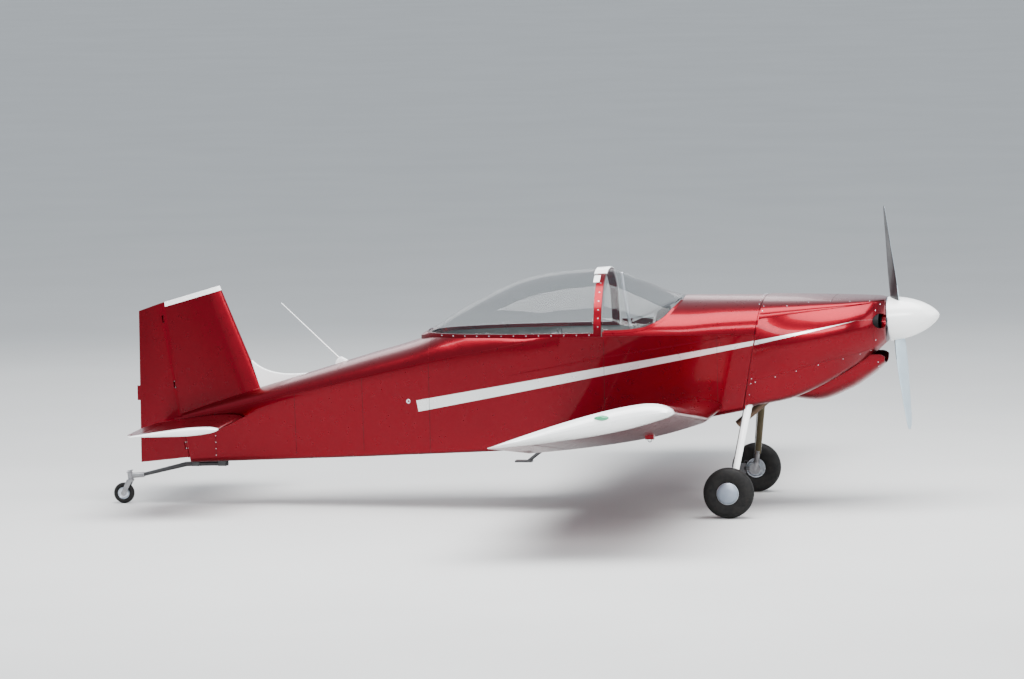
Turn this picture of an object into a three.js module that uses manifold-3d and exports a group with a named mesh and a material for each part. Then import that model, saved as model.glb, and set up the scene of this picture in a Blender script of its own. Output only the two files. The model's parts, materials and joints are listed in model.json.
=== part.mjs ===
// Two-seat low-wing light aircraft with a tail wheel, standing on its gear.
// Units are millimetres. +X points to the nose, +Y to the left wing and +Z up. Z = 0 is the ground.
import * as THREE from 'three';
import { mergeVertices } from 'three/addons/utils/BufferGeometryUtils.js';
import Module from 'manifold-3d';

const wasm = await Module();
wasm.setup();

// Driving dimensions
const ORIGIN_SHIFT = 43;
const GAP = 0.3;
const WIDE = 900;
const TALL = 2400;
const NOSE_LIMIT = 2800;
const WALL = 20;
const COWL_WALL = 12;
const NOSE_WALL = 28;
const RAIL_SLOPE = 0.0151;
const RAIL_Z0 = 1227.6;
const FIREWALL_FOOT = { x: 1622, z: 800 };
const FIREWALL_LEAN = 0.166;
const CABIN_AFT_X = -640;
const THRUST_TILT = THREE.MathUtils.degToRad(4.5);
const HUB = new THREE.Vector3(2640, 0, 1322);
const WING = { chord: 1270, tilt: THREE.MathUtils.degToRad(11.1), breakY: 1200, tipY: 3175 };
const SIDES = [['left', 1], ['right', -1]];

// Fuselage frames, tail post to firewall. Columns: x, bottom z, bottom half-width, longeron
// half-width, longeron z, top z, squareness of the top curve.
const FUSELAGE = [
  [-2600, 290, 34, 40, 603, 616, 2.0],
  [-2245, 311, 105, 130, 672, 742, 2.0],
  [-1639, 342, 205, 252, 818, 926, 2.0],
  [-1133, 368, 290, 338, 937, 1079, 2.1],
  [-760, 390, 352, 392, 1022, 1190, 2.2],
  [-600, 399, 378, 410, 1057, 1256, 2.3],
  [-450, 407, 398, 425, 1086, 1318, 2.1],
  [-300, 415, 415, 440, 1115, 1372, 2.0],
  [-119, 426, 435, 458, 1151, 1375, 2.0],
  [86, 438, 448, 468, 1191, 1330, 2.0],
  [220, 447, 452, 471, 1217, 1350, 2.0],
  [300, 462, 454, 472, 1232, 1400, 2.0],
  [622, 524, 458, 474, 1237, 1489, 2.0],
  [1139, 623, 450, 470, 1245, 1491, 2.0],
  [1420, 677, 440, 462, 1249, 1490, 2.25],
  [1800, 750, 423, 448, 1254, 1489, 2.5],
];

// Cowling frames. Columns: x, top z, upper seam y and z, widest y and z, lower seam y and z,
// bottom half-width and z.
const COWLING = [
  [1590, 1491, 452, 1340, 470, 1120, 458, 899, 430, 722],
  [1700, 1491, 446, 1354, 472, 1150, 452, 931, 420, 744],
  [1914, 1489, 415, 1383, 476, 1190, 428, 986, 370, 784],
  [2122, 1486, 372, 1408, 462, 1225, 388, 1041, 300, 866],
  [2310, 1482, 320, 1427, 420, 1262, 332, 1084, 228, 968],
  [2440, 1479, 262, 1441, 350, 1285, 268, 1116, 175, 1050],
  [2520, 1476, 205, 1450, 268, 1300, 212, 1145, 140, 1108],
  [2574, 1469, 120, 1450, 176, 1312, 140, 1190, 100, 1158],
];

// Canopy arches. Columns: x, half-width at the rail, top z.
const CANOPY = [
  [604, 470, 1687],
  [418, 469, 1676],
  [272, 467, 1665],
  [125, 460, 1644],
  [-23, 446, 1608],
  [-170, 424, 1551],
  [-319, 390, 1479],
  [-467, 332, 1399],
  [-590, 262, 1322],
  [-690, 168, 1258],
  [-742, 92, 1225],
];

// Windscreen arches, with the same columns.
const WINDSCREEN = [
  [606, 470, 1687],
  [709, 470, 1649],
  [817, 469, 1606],
  [910, 466, 1567],
  [988, 460, 1530],
  [1050, 453, 1511],
  [1100, 440, 1499],
  [1150, 424, 1492],
];

// Solid helpers
function toSolid(geometry) {
  const bare = geometry.clone();
  bare.deleteAttribute('normal');
  bare.deleteAttribute('uv');
  const merged = mergeVertices(bare, 1e-3);
  const faces = [];
  for (let i = 0; i < merged.index.count; i += 3) {
    const [a, b, c] = merged.index.array.slice(i, i + 3);
    if (a !== b && b !== c && c !== a) faces.push(a, b, c);
  }
  merged.setIndex(faces);
  facingOut(merged);
  return new wasm.Manifold(new wasm.Mesh({
    numProp: 3,
    vertProperties: new Float32Array(merged.attributes.position.array),
    triVerts: new Uint32Array(merged.index.array),
  }));
}

function toGeometry(solid) {
  const mesh = solid.getMesh();
  const geometry = new THREE.BufferGeometry();
  geometry.setAttribute('position', new THREE.BufferAttribute(new Float32Array(mesh.vertProperties), 3));
  geometry.setIndex(new THREE.BufferAttribute(new Uint32Array(mesh.triVerts), 1));
  return geometry;
}

const cut = (base, ...tools) => tools.reduce((solid, tool) => solid.subtract(tool), base);
const join = (base, ...others) => others.reduce((solid, other) => solid.add(other), base);
const common = (base, ...others) => others.reduce((solid, other) => solid.intersect(other), base);

// The largest separate piece of a solid that a cut has divided.
const largest = (solid) => solid.decompose().sort((a, b) => b.volume() - a.volume())[0];

// A closed body through section outlines that all have the same number of points.
// flatAxes names the two axes in which the end outlines are triangulated.
function loft(sections, flatAxes = ['y', 'z']) {
  const count = sections[0].length;
  const positions = [];
  for (const section of sections) {
    for (const point of section) positions.push(point.x, point.y, point.z);
  }
  const index = [];
  for (let row = 0; row < sections.length - 1; row += 1) {
    for (let i = 0; i < count; i += 1) {
      const a = row * count + i;
      const b = row * count + ((i + 1) % count);
      index.push(a, b, a + count, b, b + count, a + count);
    }
  }
  const flat = (section) => section.map((p) => new THREE.Vector2(p[flatAxes[0]], p[flatAxes[1]]));
  const capTriangles = (section) => {
    const outline = flat(section);
    const turned = THREE.ShapeUtils.isClockWise(outline);
    return THREE.ShapeUtils.triangulateShape(turned ? outline.slice().reverse() : outline, [])
      .map((face) => (turned ? face.map((i) => count - 1 - i).reverse() : face));
  };
  const last = (sections.length - 1) * count;
  for (const [a, b, c] of capTriangles(sections[0])) index.push(c, b, a);
  for (const [a, b, c] of capTriangles(sections.at(-1))) index.push(last + a, last + b, last + c);
  const geometry = new THREE.BufferGeometry();
  geometry.setAttribute('position', new THREE.Float32BufferAttribute(positions, 3));
  geometry.setIndex(index);
  return facingOut(geometry);
}

function facingOut(geometry) {
  const p = geometry.attributes.position;
  const index = geometry.index.array;
  const [a, b, c] = [new THREE.Vector3(), new THREE.Vector3(), new THREE.Vector3()];
  let volume = 0;
  for (let i = 0; i < index.length; i += 3) {
    a.fromBufferAttribute(p, index[i]);
    b.fromBufferAttribute(p, index[i + 1]);
    c.fromBufferAttribute(p, index[i + 2]);
    volume += a.dot(b.cross(c));
  }
  if (volume < 0) geometry.setIndex([...index].reverse());
  return geometry;
}

// Moves a closed outline in the YZ plane inwards by a wall thickness.
function inset(points, wall) {
  const count = points.length;
  const area = points.reduce((sum, p, i) => {
    const q = points[(i + 1) % count];
    return sum + p.y * q.z - q.y * p.z;
  }, 0);
  const side = area > 0 ? 1 : -1;
  return points.map((p, i) => {
    const before = points[(i + count - 1) % count];
    const after = points[(i + 1) % count];
    const u = new THREE.Vector2(p.y - before.y, p.z - before.z).normalize();
    const v = new THREE.Vector2(after.y - p.y, after.z - p.z).normalize();
    const n = new THREE.Vector2(-(u.y + v.y), u.x + v.x).normalize();
    const stretch = Math.min(1 / Math.max(n.dot(new THREE.Vector2(-u.y, u.x)), 0.4), 2);
    return new THREE.Vector3(p.x, p.y + side * n.x * wall * stretch, p.z + side * n.y * wall * stretch);
  });
}

function placed(geometry, position, rotation = [0, 0, 0]) {
  const matrix = new THREE.Matrix4().makeRotationFromEuler(new THREE.Euler(...rotation));
  matrix.setPosition(...position);
  return geometry.clone().applyMatrix4(matrix);
}

// A box from its lowest and highest corners.
function block(low, high) {
  const size = high.map((value, i) => value - low[i]);
  const middle = high.map((value, i) => (value + low[i]) / 2);
  return toSolid(placed(new THREE.BoxGeometry(...size), middle));
}

// A round bar from one point to another.
function bar(from, to, radius, sides = 16, endRadius = radius) {
  const start = new THREE.Vector3(...from);
  const end = new THREE.Vector3(...to);
  const geometry = new THREE.CylinderGeometry(endRadius, radius, start.distanceTo(end), sides);
  const turn = new THREE.Quaternion()
    .setFromUnitVectors(new THREE.Vector3(0, 1, 0), end.clone().sub(start).normalize());
  const matrix = new THREE.Matrix4()
    .compose(start.clone().add(end).multiplyScalar(0.5), turn, new THREE.Vector3(1, 1, 1));
  return toSolid(geometry.applyMatrix4(matrix));
}

// A flat plate drawn in the XZ plane, between two values of y.
function plateXZ(outline, yLow, yHigh) {
  const shape = new THREE.Shape(outline.map(([x, z]) => new THREE.Vector2(x, z)));
  const geometry = new THREE.ExtrudeGeometry(shape, { depth: yHigh - yLow, bevelEnabled: false });
  return toSolid(placed(geometry, [0, yHigh, 0], [Math.PI / 2, 0, 0]));
}

// Everything of the aircraft's middle between two values of x, and between two heights.
const zone = (fromX, toX, lowZ = 0) => block([fromX, -WIDE, lowZ], [toX, WIDE, TALL]);
const halfZone = (sign) => block([-TALL, sign > 0 ? 1 : -WIDE, 0], [NOSE_LIMIT, sign > 0 ? WIDE : -1, TALL]);

// A slab between two heights that change with x, at the given stations.
function slab(stations, low, high, yLow, yHigh) {
  return toSolid(loft(stations.map((x) => [
    new THREE.Vector3(x, yLow, low(x)),
    new THREE.Vector3(x, yHigh, low(x)),
    new THREE.Vector3(x, yHigh, high(x)),
    new THREE.Vector3(x, yLow, high(x)),
  ])));
}

const railZ = (x) => RAIL_Z0 + RAIL_SLOPE * x;

// The value of one column of a table at x, straight between its rows.
function tableAt(table, column, x) {
  const rows = [...table].sort((p, q) => p[0] - q[0]);
  let i = 0;
  while (i < rows.length - 2 && x > rows[i + 1][0]) i += 1;
  const t = (x - rows[i][0]) / (rows[i + 1][0] - rows[i][0]);
  return rows[i][column] + t * (rows[i + 1][column] - rows[i][column]);
}

const rowAt = (table, x) => table[0].map((_, column) => (column === 0 ? x : tableAt(table, column, x)));

// The material's colour, roughness and metalness, with one material for each mesh.
const PAINTS = {
  red: [0x8c0f1a, 0.25, 0.3],
  white: [0xf2f2f0, 0.35, 0],
  black: [0x17171a, 0.6, 0],
  rubber: [0x1b1b1c, 0.85, 0],
  aluminium: [0xb9bcc0, 0.35, 0.9],
  steel: [0x8f9296, 0.4, 0.9],
  castMetal: [0x56585b, 0.6, 0.7],
  primer: [0x9aa08d, 0.7, 0],
  cloth: [0x23293a, 0.9, 0],
  glass: [0xcfe3ea, 0.05, 0],
};

const aircraft = new THREE.Group();
aircraft.position.x = ORIGIN_SHIFT;

function add(name, solid, paint) {
  const [color, roughness, metalness] = PAINTS[paint];
  const material = new THREE.MeshStandardMaterial({ color, roughness, metalness });
  if (paint === 'glass') {
    material.transparent = true;
    material.opacity = 0.35;
  }
  const mesh = new THREE.Mesh(toGeometry(solid), material);
  mesh.name = name;
  aircraft.add(mesh);
}

// Fuselage
function fuselageOutline(row) {
  const [x, bottom, bottomHalf, longeronHalf, longeron, top, squareness] = row;
  const corner = Math.min(35, bottomHalf * 0.5);
  const half = [[bottomHalf - corner, bottom], [bottomHalf - corner * 0.3, bottom + corner * 0.3]];
  half.push([bottomHalf + 1, bottom + corner]);
  const steps = 8;
  for (let i = 0; i < steps; i += 1) {
    const angle = (i / steps) * (Math.PI / 2);
    const y = longeronHalf * Math.cos(angle) ** (2 / squareness);
    half.push([y, longeron + (top - longeron) * Math.sin(angle) ** (2 / squareness)]);
  }
  const right = half.map(([y, z]) => new THREE.Vector3(x, -y, z));
  const left = half.map(([y, z]) => new THREE.Vector3(x, y, z)).reverse();
  return [...right, new THREE.Vector3(x, 0, top), ...left];
}

// The plane of the firewall, as a solid that fills everything behind or ahead of it.
function firewallSide(ahead, offset) {
  const at = (z) => FIREWALL_FOOT.x + FIREWALL_LEAN * (z - FIREWALL_FOOT.z) + offset;
  const far = ahead ? 2 * TALL : -2 * TALL;
  return plateXZ([[at(0), 0], [at(TALL), TALL], [far, TALL], [far, 0]], -WIDE, WIDE);
}

const bodyOuter = toSolid(loft(FUSELAGE.map(fuselageOutline)));
const CABIN_STATIONS = [-600, -450, -300, -119, 86, 220, 300, 622, 1139, 1420, 1800];
const cabinRows = [CABIN_AFT_X + GAP, ...CABIN_STATIONS]
  .map((x) => rowAt(FUSELAGE, x));
const cabinInner = toSolid(loft(cabinRows.map((row) => inset(fuselageOutline(row), WALL))));

// Wing sections: a cambered section of 12 per cent, drawn from the trailing edge over the top.
const SECTION_STEPS = [1, 0.9, 0.78, 0.62, 0.45, 0.3, 0.18, 0.09, 0.035, 0.008];
function sectionHeights(x) {
  const thickness = 0.6 * (0.2969 * Math.sqrt(x) - 0.126 * x - 0.3516 * x ** 2
    + 0.2843 * x ** 3 - 0.1015 * x ** 4);
  const camber = x < 0.2025 ? 2.6595 * (x ** 3 - 0.6075 * x ** 2 + 0.1147 * x) : 0.02208 * (1 - x);
  return [camber + thickness, camber - thickness];
}
function wingSection(leading, chord, thick = 1) {
  const along = new THREE.Vector3(-Math.cos(WING.tilt), 0, -Math.sin(WING.tilt));
  const up = new THREE.Vector3(-Math.sin(WING.tilt), 0, Math.cos(WING.tilt));
  const point = (x, height) => leading.clone()
    .addScaledVector(along, x * chord).addScaledVector(up, height * chord * thick);
  const over = SECTION_STEPS.map((x) => point(x, sectionHeights(x)[0]));
  const under = SECTION_STEPS.map((x) => point(x, sectionHeights(x)[1])).reverse();
  return [...over, point(0, 0), ...under];
}
const ROOT_LEADING = [1449, 0, 743];
const TIP_LEADING = [1474, WING.tipY, 996];
const leadingAt = (y) => {
  const t = Math.max(0, (y - WING.breakY) / (TIP_LEADING[1] - WING.breakY));
  return new THREE.Vector3(
    ROOT_LEADING[0] + t * (TIP_LEADING[0] - ROOT_LEADING[0]),
    y,
    ROOT_LEADING[2] + t * (TIP_LEADING[2] - ROOT_LEADING[2]),
  );
};
const mirrored = (solid) => solid.mirror([0, 1, 0]);
const centreWing = toSolid(loft([-1, 1].map((side) => {
  const leading = leadingAt(0);
  leading.y = side * (WING.breakY - GAP / 2);
  return wingSection(leading, WING.chord);
}), ['x', 'z']));
// The same body grown by the gap, which clears what it passes through.
const grown = (solid, gap) => join(solid, ...[0, 1, 2].flatMap((axis) => [-gap, gap]
  .map((move) => solid.translate([0, 1, 2].map((i) => (i === axis ? move : 0))))));
const wingRoom = grown(centreWing, GAP);
const FIREWALL_THICK = 10;
const behindFirewall = firewallSide(false, -FIREWALL_THICK - GAP);
const aheadOfTail = zone(CABIN_AFT_X + GAP, NOSE_LIMIT);
const bellyTop = (x) => tableAt(FUSELAGE, 1, x) + WALL + 2;
const bellyZone = (gap) => slab([-700, ...CABIN_STATIONS], (x) => bellyTop(x) - 200,
  (x) => bellyTop(x) - gap, -WIDE, WIDE);

const cabinShell = common(cut(bodyOuter, cabinInner, wingRoom), behindFirewall, aheadOfTail);

// Canopy and windscreen arches
function arch(x, halfWidth, foot, top, steps = 14) {
  const points = [];
  for (let i = 0; i <= steps; i += 1) {
    const angle = (i / steps) * Math.PI;
    const y = halfWidth * Math.sign(Math.cos(angle)) * Math.abs(Math.cos(angle)) ** 0.94;
    points.push(new THREE.Vector3(x, y, foot + (top - foot) * Math.sin(angle) ** 0.94));
  }
  return points;
}
// The canopy or windscreen as a full body, which reaches a little below the rail.
const FRAME_WALL = 24;
const GLASS_WALL = 7;
const FOOT_DROP = 90;
const BUBBLE_TOP = 1689;
const bubble = (table, wall = 0, drop = FOOT_DROP) => toSolid(loft(table.map(([x, halfWidth, top]) => [
  new THREE.Vector3(x, halfWidth - wall, railZ(x) - drop),
  ...arch(x, halfWidth - wall, railZ(x), top - wall),
  new THREE.Vector3(x, wall - halfWidth, railZ(x) - drop),
])));
const openEnd = (x) => [x, CANOPY[0][1], BUBBLE_TOP];
const canopyHollow = (wall) => bubble([openEnd(640), ...CANOPY.slice(1, -1)], wall, FOOT_DROP + 5);
const canopyOuter = bubble(CANOPY);
const screenOuter = bubble(WINDSCREEN);
const screenHollow = bubble([openEnd(590), ...WINDSCREEN.slice(1)], GLASS_WALL, FOOT_DROP + 5);

const SCREEN_AFT_X = 612;
const WING_FRONT_X = 1300;
const WING_REAR_X = 400;
const aboveRail = (lift) => slab([-1000, 1900], (x) => railZ(x) + GAP + lift, () => TALL, -WIDE, WIDE);
const deckShell = common(cabinShell, aboveRail(0), zone(SCREEN_AFT_X, NOSE_LIMIT));
add('forward_deck', cut(deckShell, grown(screenOuter, GAP)), 'red');

const belowRail = slab([-800, 1900], () => 0, (x) => railZ(x), -WIDE, WIDE);
const sideShell = cut(common(cabinShell, belowRail), bellyZone(0));
for (const [side, sign] of SIDES) add(`cockpit_side_${side}`, common(sideShell, halfZone(sign)), 'red');
const belly = common(cabinShell, bellyZone(GAP));
add('belly_front', common(belly, zone(WING_FRONT_X, NOSE_LIMIT)), 'red');
add('belly_rear', common(belly, zone(-TALL, WING_REAR_X)), 'red');

// Tail cone, cut off at the stern post, with a bore for the tailplane's torque tube
const HINGE_TOP = new THREE.Vector3(-2649, 0, 1444);
const HINGE_FOOT = new THREE.Vector3(-2464, 0, 300);
const hingeX = (z) => HINGE_FOOT.x
  + ((z - HINGE_FOOT.z) / (HINGE_TOP.z - HINGE_FOOT.z)) * (HINGE_TOP.x - HINGE_FOOT.x);
const TAILPLANE_PIVOT = new THREE.Vector3(-2190, 0, 629);
const TORQUE_TUBE_RADIUS = 22;
const TORQUE_TUBE_REACH = 400;
const pivotBar = (radius) => bar([TAILPLANE_PIVOT.x, -TORQUE_TUBE_REACH, TAILPLANE_PIVOT.z],
  [TAILPLANE_PIVOT.x, TORQUE_TUBE_REACH, TAILPLANE_PIVOT.z], radius, 24);
const POST_CLEARANCE = 22;
const aheadOfPost = plateXZ([[hingeX(0) + POST_CLEARANCE, 0], [hingeX(1700) + POST_CLEARANCE, 1700],
  [CABIN_AFT_X, 1700], [CABIN_AFT_X, 0]], -WIDE, WIDE);
const HINGE_PIN_RADIUS = 5;
const HINGE_EYES = [420, 860, 1330];
const hingePoint = (z) => [hingeX(z), 0, z];
const EYE = { reach: 11, root: 8, halfWidth: 8, halfHeight: 18, roomHeight: 26, roomRadius: 21 };
const hingeEye = (z) => cut(
  block([hingeX(z) - EYE.reach, -EYE.halfWidth, z - EYE.halfHeight],
    [hingeX(z) + POST_CLEARANCE + EYE.root, EYE.halfWidth, z + EYE.halfHeight]),
  bar(hingePoint(z - 40), hingePoint(z + 40), HINGE_PIN_RADIUS + GAP, 16),
);
const tailCone = join(
  common(cut(bodyOuter, pivotBar(TORQUE_TUBE_RADIUS + GAP)), aheadOfPost),
  hingeEye(HINGE_EYES[0]),
);
add('tail_cone', tailCone, 'red');

// Cowling
function cowlingOutline(row) {
  const [x, top, seamY, seamZ, wideY, wideZ, lowY, lowZ, bottomY, bottom] = row;
  const cheek = new THREE.CatmullRomCurve3([
    new THREE.Vector3(0, lowY, lowZ),
    new THREE.Vector3(0, wideY, wideZ),
    new THREE.Vector3(0, seamY, seamZ),
  ]).getPoints(8).map((p) => [p.y, p.z]);
  const half = [[bottomY * 0.82, bottom], [bottomY, bottom + (lowZ - bottom) * 0.14], ...cheek];
  for (let i = 1; i < 7; i += 1) {
    const angle = (i / 7) * (Math.PI / 2);
    half.push([seamY * Math.cos(angle) ** 0.8, seamZ + (top - seamZ) * Math.sin(angle) ** 0.8]);
  }
  const right = half.map(([y, z]) => new THREE.Vector3(x, -y, z));
  const left = half.map(([y, z]) => new THREE.Vector3(x, y, z)).reverse();
  return [...right, new THREE.Vector3(x, 0, top), ...left];
}
const cowlOuter = toSolid(loft(COWLING.map(cowlingOutline)));
const innerRows = COWLING.slice(0, -1).concat([rowAt(COWLING, COWLING.at(-1)[0] - NOSE_WALL)]);
innerRows[0] = rowAt(COWLING, 1591).map((value, i) => (i === 0 ? 1560 : value));
const cowlInner = toSolid(loft(innerRows.map((row) => inset(cowlingOutline(row), COWL_WALL))));
const INLET = { y: 222, z: 1322, radiusY: 74, radiusZ: 52 };
const inletTool = (sign) => toSolid(placed(new THREE.CylinderGeometry(1, 1, 400, 24)
  .scale(INLET.radiusZ, 1, INLET.radiusY), [2590, sign * INLET.y, INLET.z], [0, 0, Math.PI / 2]));
const THRUST = new THREE.Vector3(Math.cos(THRUST_TILT), 0, Math.sin(THRUST_TILT));
const onThrust = (distance) => HUB.clone().addScaledVector(THRUST, distance).toArray();
const SHAFT_RADIUS = 55;
const SHAFT_HOLE_RADIUS = 78;
const crankHole = bar(onThrust(-260), onThrust(60), SHAFT_HOLE_RADIUS, 24);
const spinnerRoom = bar(onThrust(-62), onThrust(200), 400, 24);
const OUTLET = { length: 150, halfWidth: 300 };
const outletTool = block([1500, -OUTLET.halfWidth, 600], [1640 + OUTLET.length, OUTLET.halfWidth, 812]);
const cowlShell = common(
  cut(cowlOuter, cowlInner, inletTool(1), inletTool(-1), crankHole, spinnerRoom, outletTool),
  firewallSide(true, GAP),
);
const NOSE_END_X = COWLING.at(-1)[0];
const cowlStations = [1500, ...COWLING.slice(1, -1).map((row) => row[0]), 2700];
const seamHigh = (x) => tableAt(COWLING, 3, Math.min(x, NOSE_END_X));
const seamLow = (x) => tableAt(COWLING, 7, Math.min(x, NOSE_END_X));
const cowlBand = (low, high) => slab(cowlStations, low, high, -WIDE, WIDE);
const NOSE_SEAM_X = 2500;
const cowlRear = common(cowlShell, zone(-TALL, NOSE_SEAM_X - GAP));
add('nose_bowl', common(cowlShell, zone(NOSE_SEAM_X, NOSE_LIMIT)), 'red');
add('cowl_top', common(cowlRear, cowlBand((x) => seamHigh(x) + GAP, () => TALL)), 'red');
const cheeks = common(cowlRear, cowlBand((x) => seamLow(x) + GAP, seamHigh));
for (const [side, sign] of SIDES) add(`cowl_cheek_${side}`, common(cheeks, halfZone(sign)), 'red');
add('cowl_lower', common(cowlRear, cowlBand(() => 0, seamLow)), 'red');

// Canopy glass, its frame, and the windscreen
const BOW_AFT_X = 560;
const RAIL_HEIGHT = 26;
const CANOPY_TIP_X = -690;
const turtledeckRoom = grown(common(bodyOuter, zone(-1000, CABIN_AFT_X + GAP, 1000)), GAP);
const canopyShell = cut(
  common(canopyOuter, join(aboveRail(0), zone(-1000, CABIN_AFT_X - GAP, 1100))),
  canopyHollow(FRAME_WALL),
  turtledeckRoom,
);
const glassZone = common(zone(CANOPY_TIP_X, BOW_AFT_X), aboveRail(RAIL_HEIGHT));
add('canopy_frame', cut(canopyShell, glassZone), 'red');
const canopyGlass = common(
  cut(canopyOuter, canopyHollow(GLASS_WALL), turtledeckRoom),
  aboveRail(RAIL_HEIGHT + GAP),
  zone(CANOPY_TIP_X + GAP, BOW_AFT_X - GAP),
);
add('canopy_glass', canopyGlass, 'glass');
const windscreen = common(
  cut(screenOuter, screenHollow, grown(bodyOuter, GAP)),
  aboveRail(0),
  zone(SCREEN_AFT_X, NOSE_LIMIT),
);
add('windscreen', windscreen, 'glass');

// Wings, with a flap on each side of the centre section and an aileron on each outer panel
const HINGE_SHARE = 0.78;
const NOSE_RADIUS = 36;
const MOVING_GAP = 5.5;
const COVE_RADIUS = 43;
const PIN_RADIUS = 6;
const PIN_REACH = 16;
const PIN_ROOT = 12;
const FLAP = { from: 500, to: 1182 };
const AILERON = { from: 1222, to: 2960 };
const hingeAt = (y) => {
  const leading = leadingAt(y);
  const middle = (sectionHeights(HINGE_SHARE)[0] + sectionHeights(HINGE_SHARE)[1]) / 2;
  const back = HINGE_SHARE * WING.chord;
  const rise = middle * WING.chord;
  return [
    leading.x - Math.cos(WING.tilt) * back - Math.sin(WING.tilt) * rise,
    y,
    leading.z - Math.sin(WING.tilt) * back + Math.cos(WING.tilt) * rise,
  ];
};
// A block that lies along the hinge line between two stations of the span.
function alongHinge(from, to, [lowX, highX], [lowZ, highZ]) {
  const start = new THREE.Vector3(...hingeAt(from));
  const end = new THREE.Vector3(...hingeAt(to));
  const geometry = new THREE.BoxGeometry(highX - lowX, start.distanceTo(end), highZ - lowZ)
    .translate((lowX + highX) / 2, 0, (lowZ + highZ) / 2);
  const turn = new THREE.Quaternion()
    .setFromUnitVectors(new THREE.Vector3(0, 1, 0), end.clone().sub(start).normalize());
  const matrix = new THREE.Matrix4()
    .compose(start.clone().add(end).multiplyScalar(0.5), turn, new THREE.Vector3(1, 1, 1));
  return toSolid(geometry.applyMatrix4(matrix));
}
const behindHinge = (from, to) => alongHinge(from, to, [-600, 0], [-400, 300]);
function movingSurface(wing, { from, to }) {
  const nose = bar(hingeAt(from), hingeAt(to), NOSE_RADIUS, 20);
  const surface = common(wing, join(behindHinge(from, to), nose));
  const bores = [[from - 1, from + PIN_REACH], [to - PIN_REACH, to + 1]]
    .map(([a, b]) => bar(hingeAt(a), hingeAt(b), PIN_RADIUS + GAP));
  return cut(surface, ...bores);
}
function coveAndPins(wing, { from, to }) {
  const low = from - MOVING_GAP;
  const high = to + MOVING_GAP;
  const cove = bar(hingeAt(low), hingeAt(high), COVE_RADIUS, 24);
  const pins = [[from - PIN_ROOT, from + PIN_REACH - 2], [to - PIN_REACH + 2, to + PIN_ROOT]]
    .map(([a, b]) => bar(hingeAt(a), hingeAt(b), PIN_RADIUS));
  return join(cut(wing, behindHinge(low, high), cove), ...pins);
}
const TIP_SECTIONS = [[WING.breakY + GAP / 2, 1, 1], [3050, 1, 1], [3120, 0.995, 0.86],
  [3160, 0.975, 0.55], [WING.tipY, 0.93, 0.16]];
const outerBlank = toSolid(loft(TIP_SECTIONS.map(([y, chordShare, thick]) => {
  const leading = leadingAt(y);
  leading.x -= (1 - chordShare) * WING.chord * 0.5;
  leading.z -= (1 - chordShare) * WING.chord * 0.1;
  return wingSection(leading, WING.chord * chordShare, thick);
}), ['x', 'z']));
const TIE_DOWN = { x: 1100, y: 1600, z: 640, halfLength: 30, halfWidth: 20, height: 70 };
const tieDown = block([TIE_DOWN.x - TIE_DOWN.halfLength, TIE_DOWN.y - TIE_DOWN.halfWidth, TIE_DOWN.z],
  [TIE_DOWN.x + TIE_DOWN.halfLength, TIE_DOWN.y + TIE_DOWN.halfWidth, TIE_DOWN.z + TIE_DOWN.height]);
const outerPanel = join(coveAndPins(outerBlank, AILERON), tieDown);
const aileron = movingSurface(outerBlank, AILERON);
const flap = movingSurface(centreWing, FLAP);
const halfCentre = coveAndPins(common(centreWing, block([-500, 0, 0], [2000, 1300, 1500])), FLAP);
add('wing_centre', join(halfCentre, mirrored(halfCentre)), 'red');
for (const [side, sign] of SIDES) {
  const handed = (solid) => (sign > 0 ? solid : mirrored(solid));
  add(`wing_${side}`, handed(outerPanel), 'white');
  add(`aileron_${side}`, handed(aileron), 'white');
  add(`flap_${side}`, handed(flap), 'white');
}

// Fin, its cap, the dorsal fillet and the rudder
const FIN_CAP_HEIGHT = 36;
function bladeSection(x0, x1, z, thick, share = [0, 0.06, 0.25, 0.55, 1]) {
  const form = [0.12, 0.55, 1, 0.95, 0.5];
  const front = share.map((s, i) => new THREE.Vector3(x0 + (x1 - x0) * s, thick * form[i], z));
  const back = share.map((s, i) => new THREE.Vector3(x0 + (x1 - x0) * s, -thick * form[i], z)).reverse();
  return [...front, ...back];
}
const FIN = { footLead: -1915, topLead: -2217, footZ: 560, topZ: 1568, heelTopZ: 1444 };
const finLead = (z) => FIN.footLead + ((z - 824) / (FIN.topZ - 824)) * (FIN.topLead - FIN.footLead);
const finBlank = toSolid(loft([FIN.footZ, 900, 1300, 1640].map((z) => bladeSection(
  finLead(z), hingeX(z) + POST_CLEARANCE, z, 44 - 18 * ((z - FIN.footZ) / 1080),
)), ['x', 'y']));
const topZ = (x) => FIN.topZ + ((x - FIN.topLead) / (HINGE_TOP.x - FIN.topLead)) * (FIN.heelTopZ - FIN.topZ);
const underTop = (drop) => slab([-2900, -1700], () => 0, (x) => topZ(x) - drop, -300, 300);
const overTop = (drop) => slab([-2900, -1700], (x) => topZ(x) - drop, () => 2000, -300, 300);
const tailRoom = grown(tailCone, GAP);
const finBody = common(cut(finBlank, tailRoom), underTop(FIN_CAP_HEIGHT + GAP),
  slab([-2900, -1700], (x) => tableAt(FUSELAGE, 5, x) - 12, () => 2000, -300, 300));
add('fin', join(finBody, hingeEye(HINGE_EYES[1]), hingeEye(HINGE_EYES[2])), 'red');
add('fin_cap', common(finBlank, underTop(0), overTop(FIN_CAP_HEIGHT)), 'white');

const FILLET = [[-1573, 946], [-1827, 928], [-1892, 942], [-1949, 989], [-1984, 1030], [-1995, 1022],
  [-1925, 800], [-1573, 890]];
const FILLET_HALF_WIDTH = 16;
const finFoot = common(finBlank, block([-2400, -300, 700], [-1800, 300, 1200]));
const fillet = cut(plateXZ(FILLET, -FILLET_HALF_WIDTH, FILLET_HALF_WIDTH), tailRoom, grown(finFoot, GAP));
add('dorsal_fillet', largest(fillet), 'white');

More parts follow.
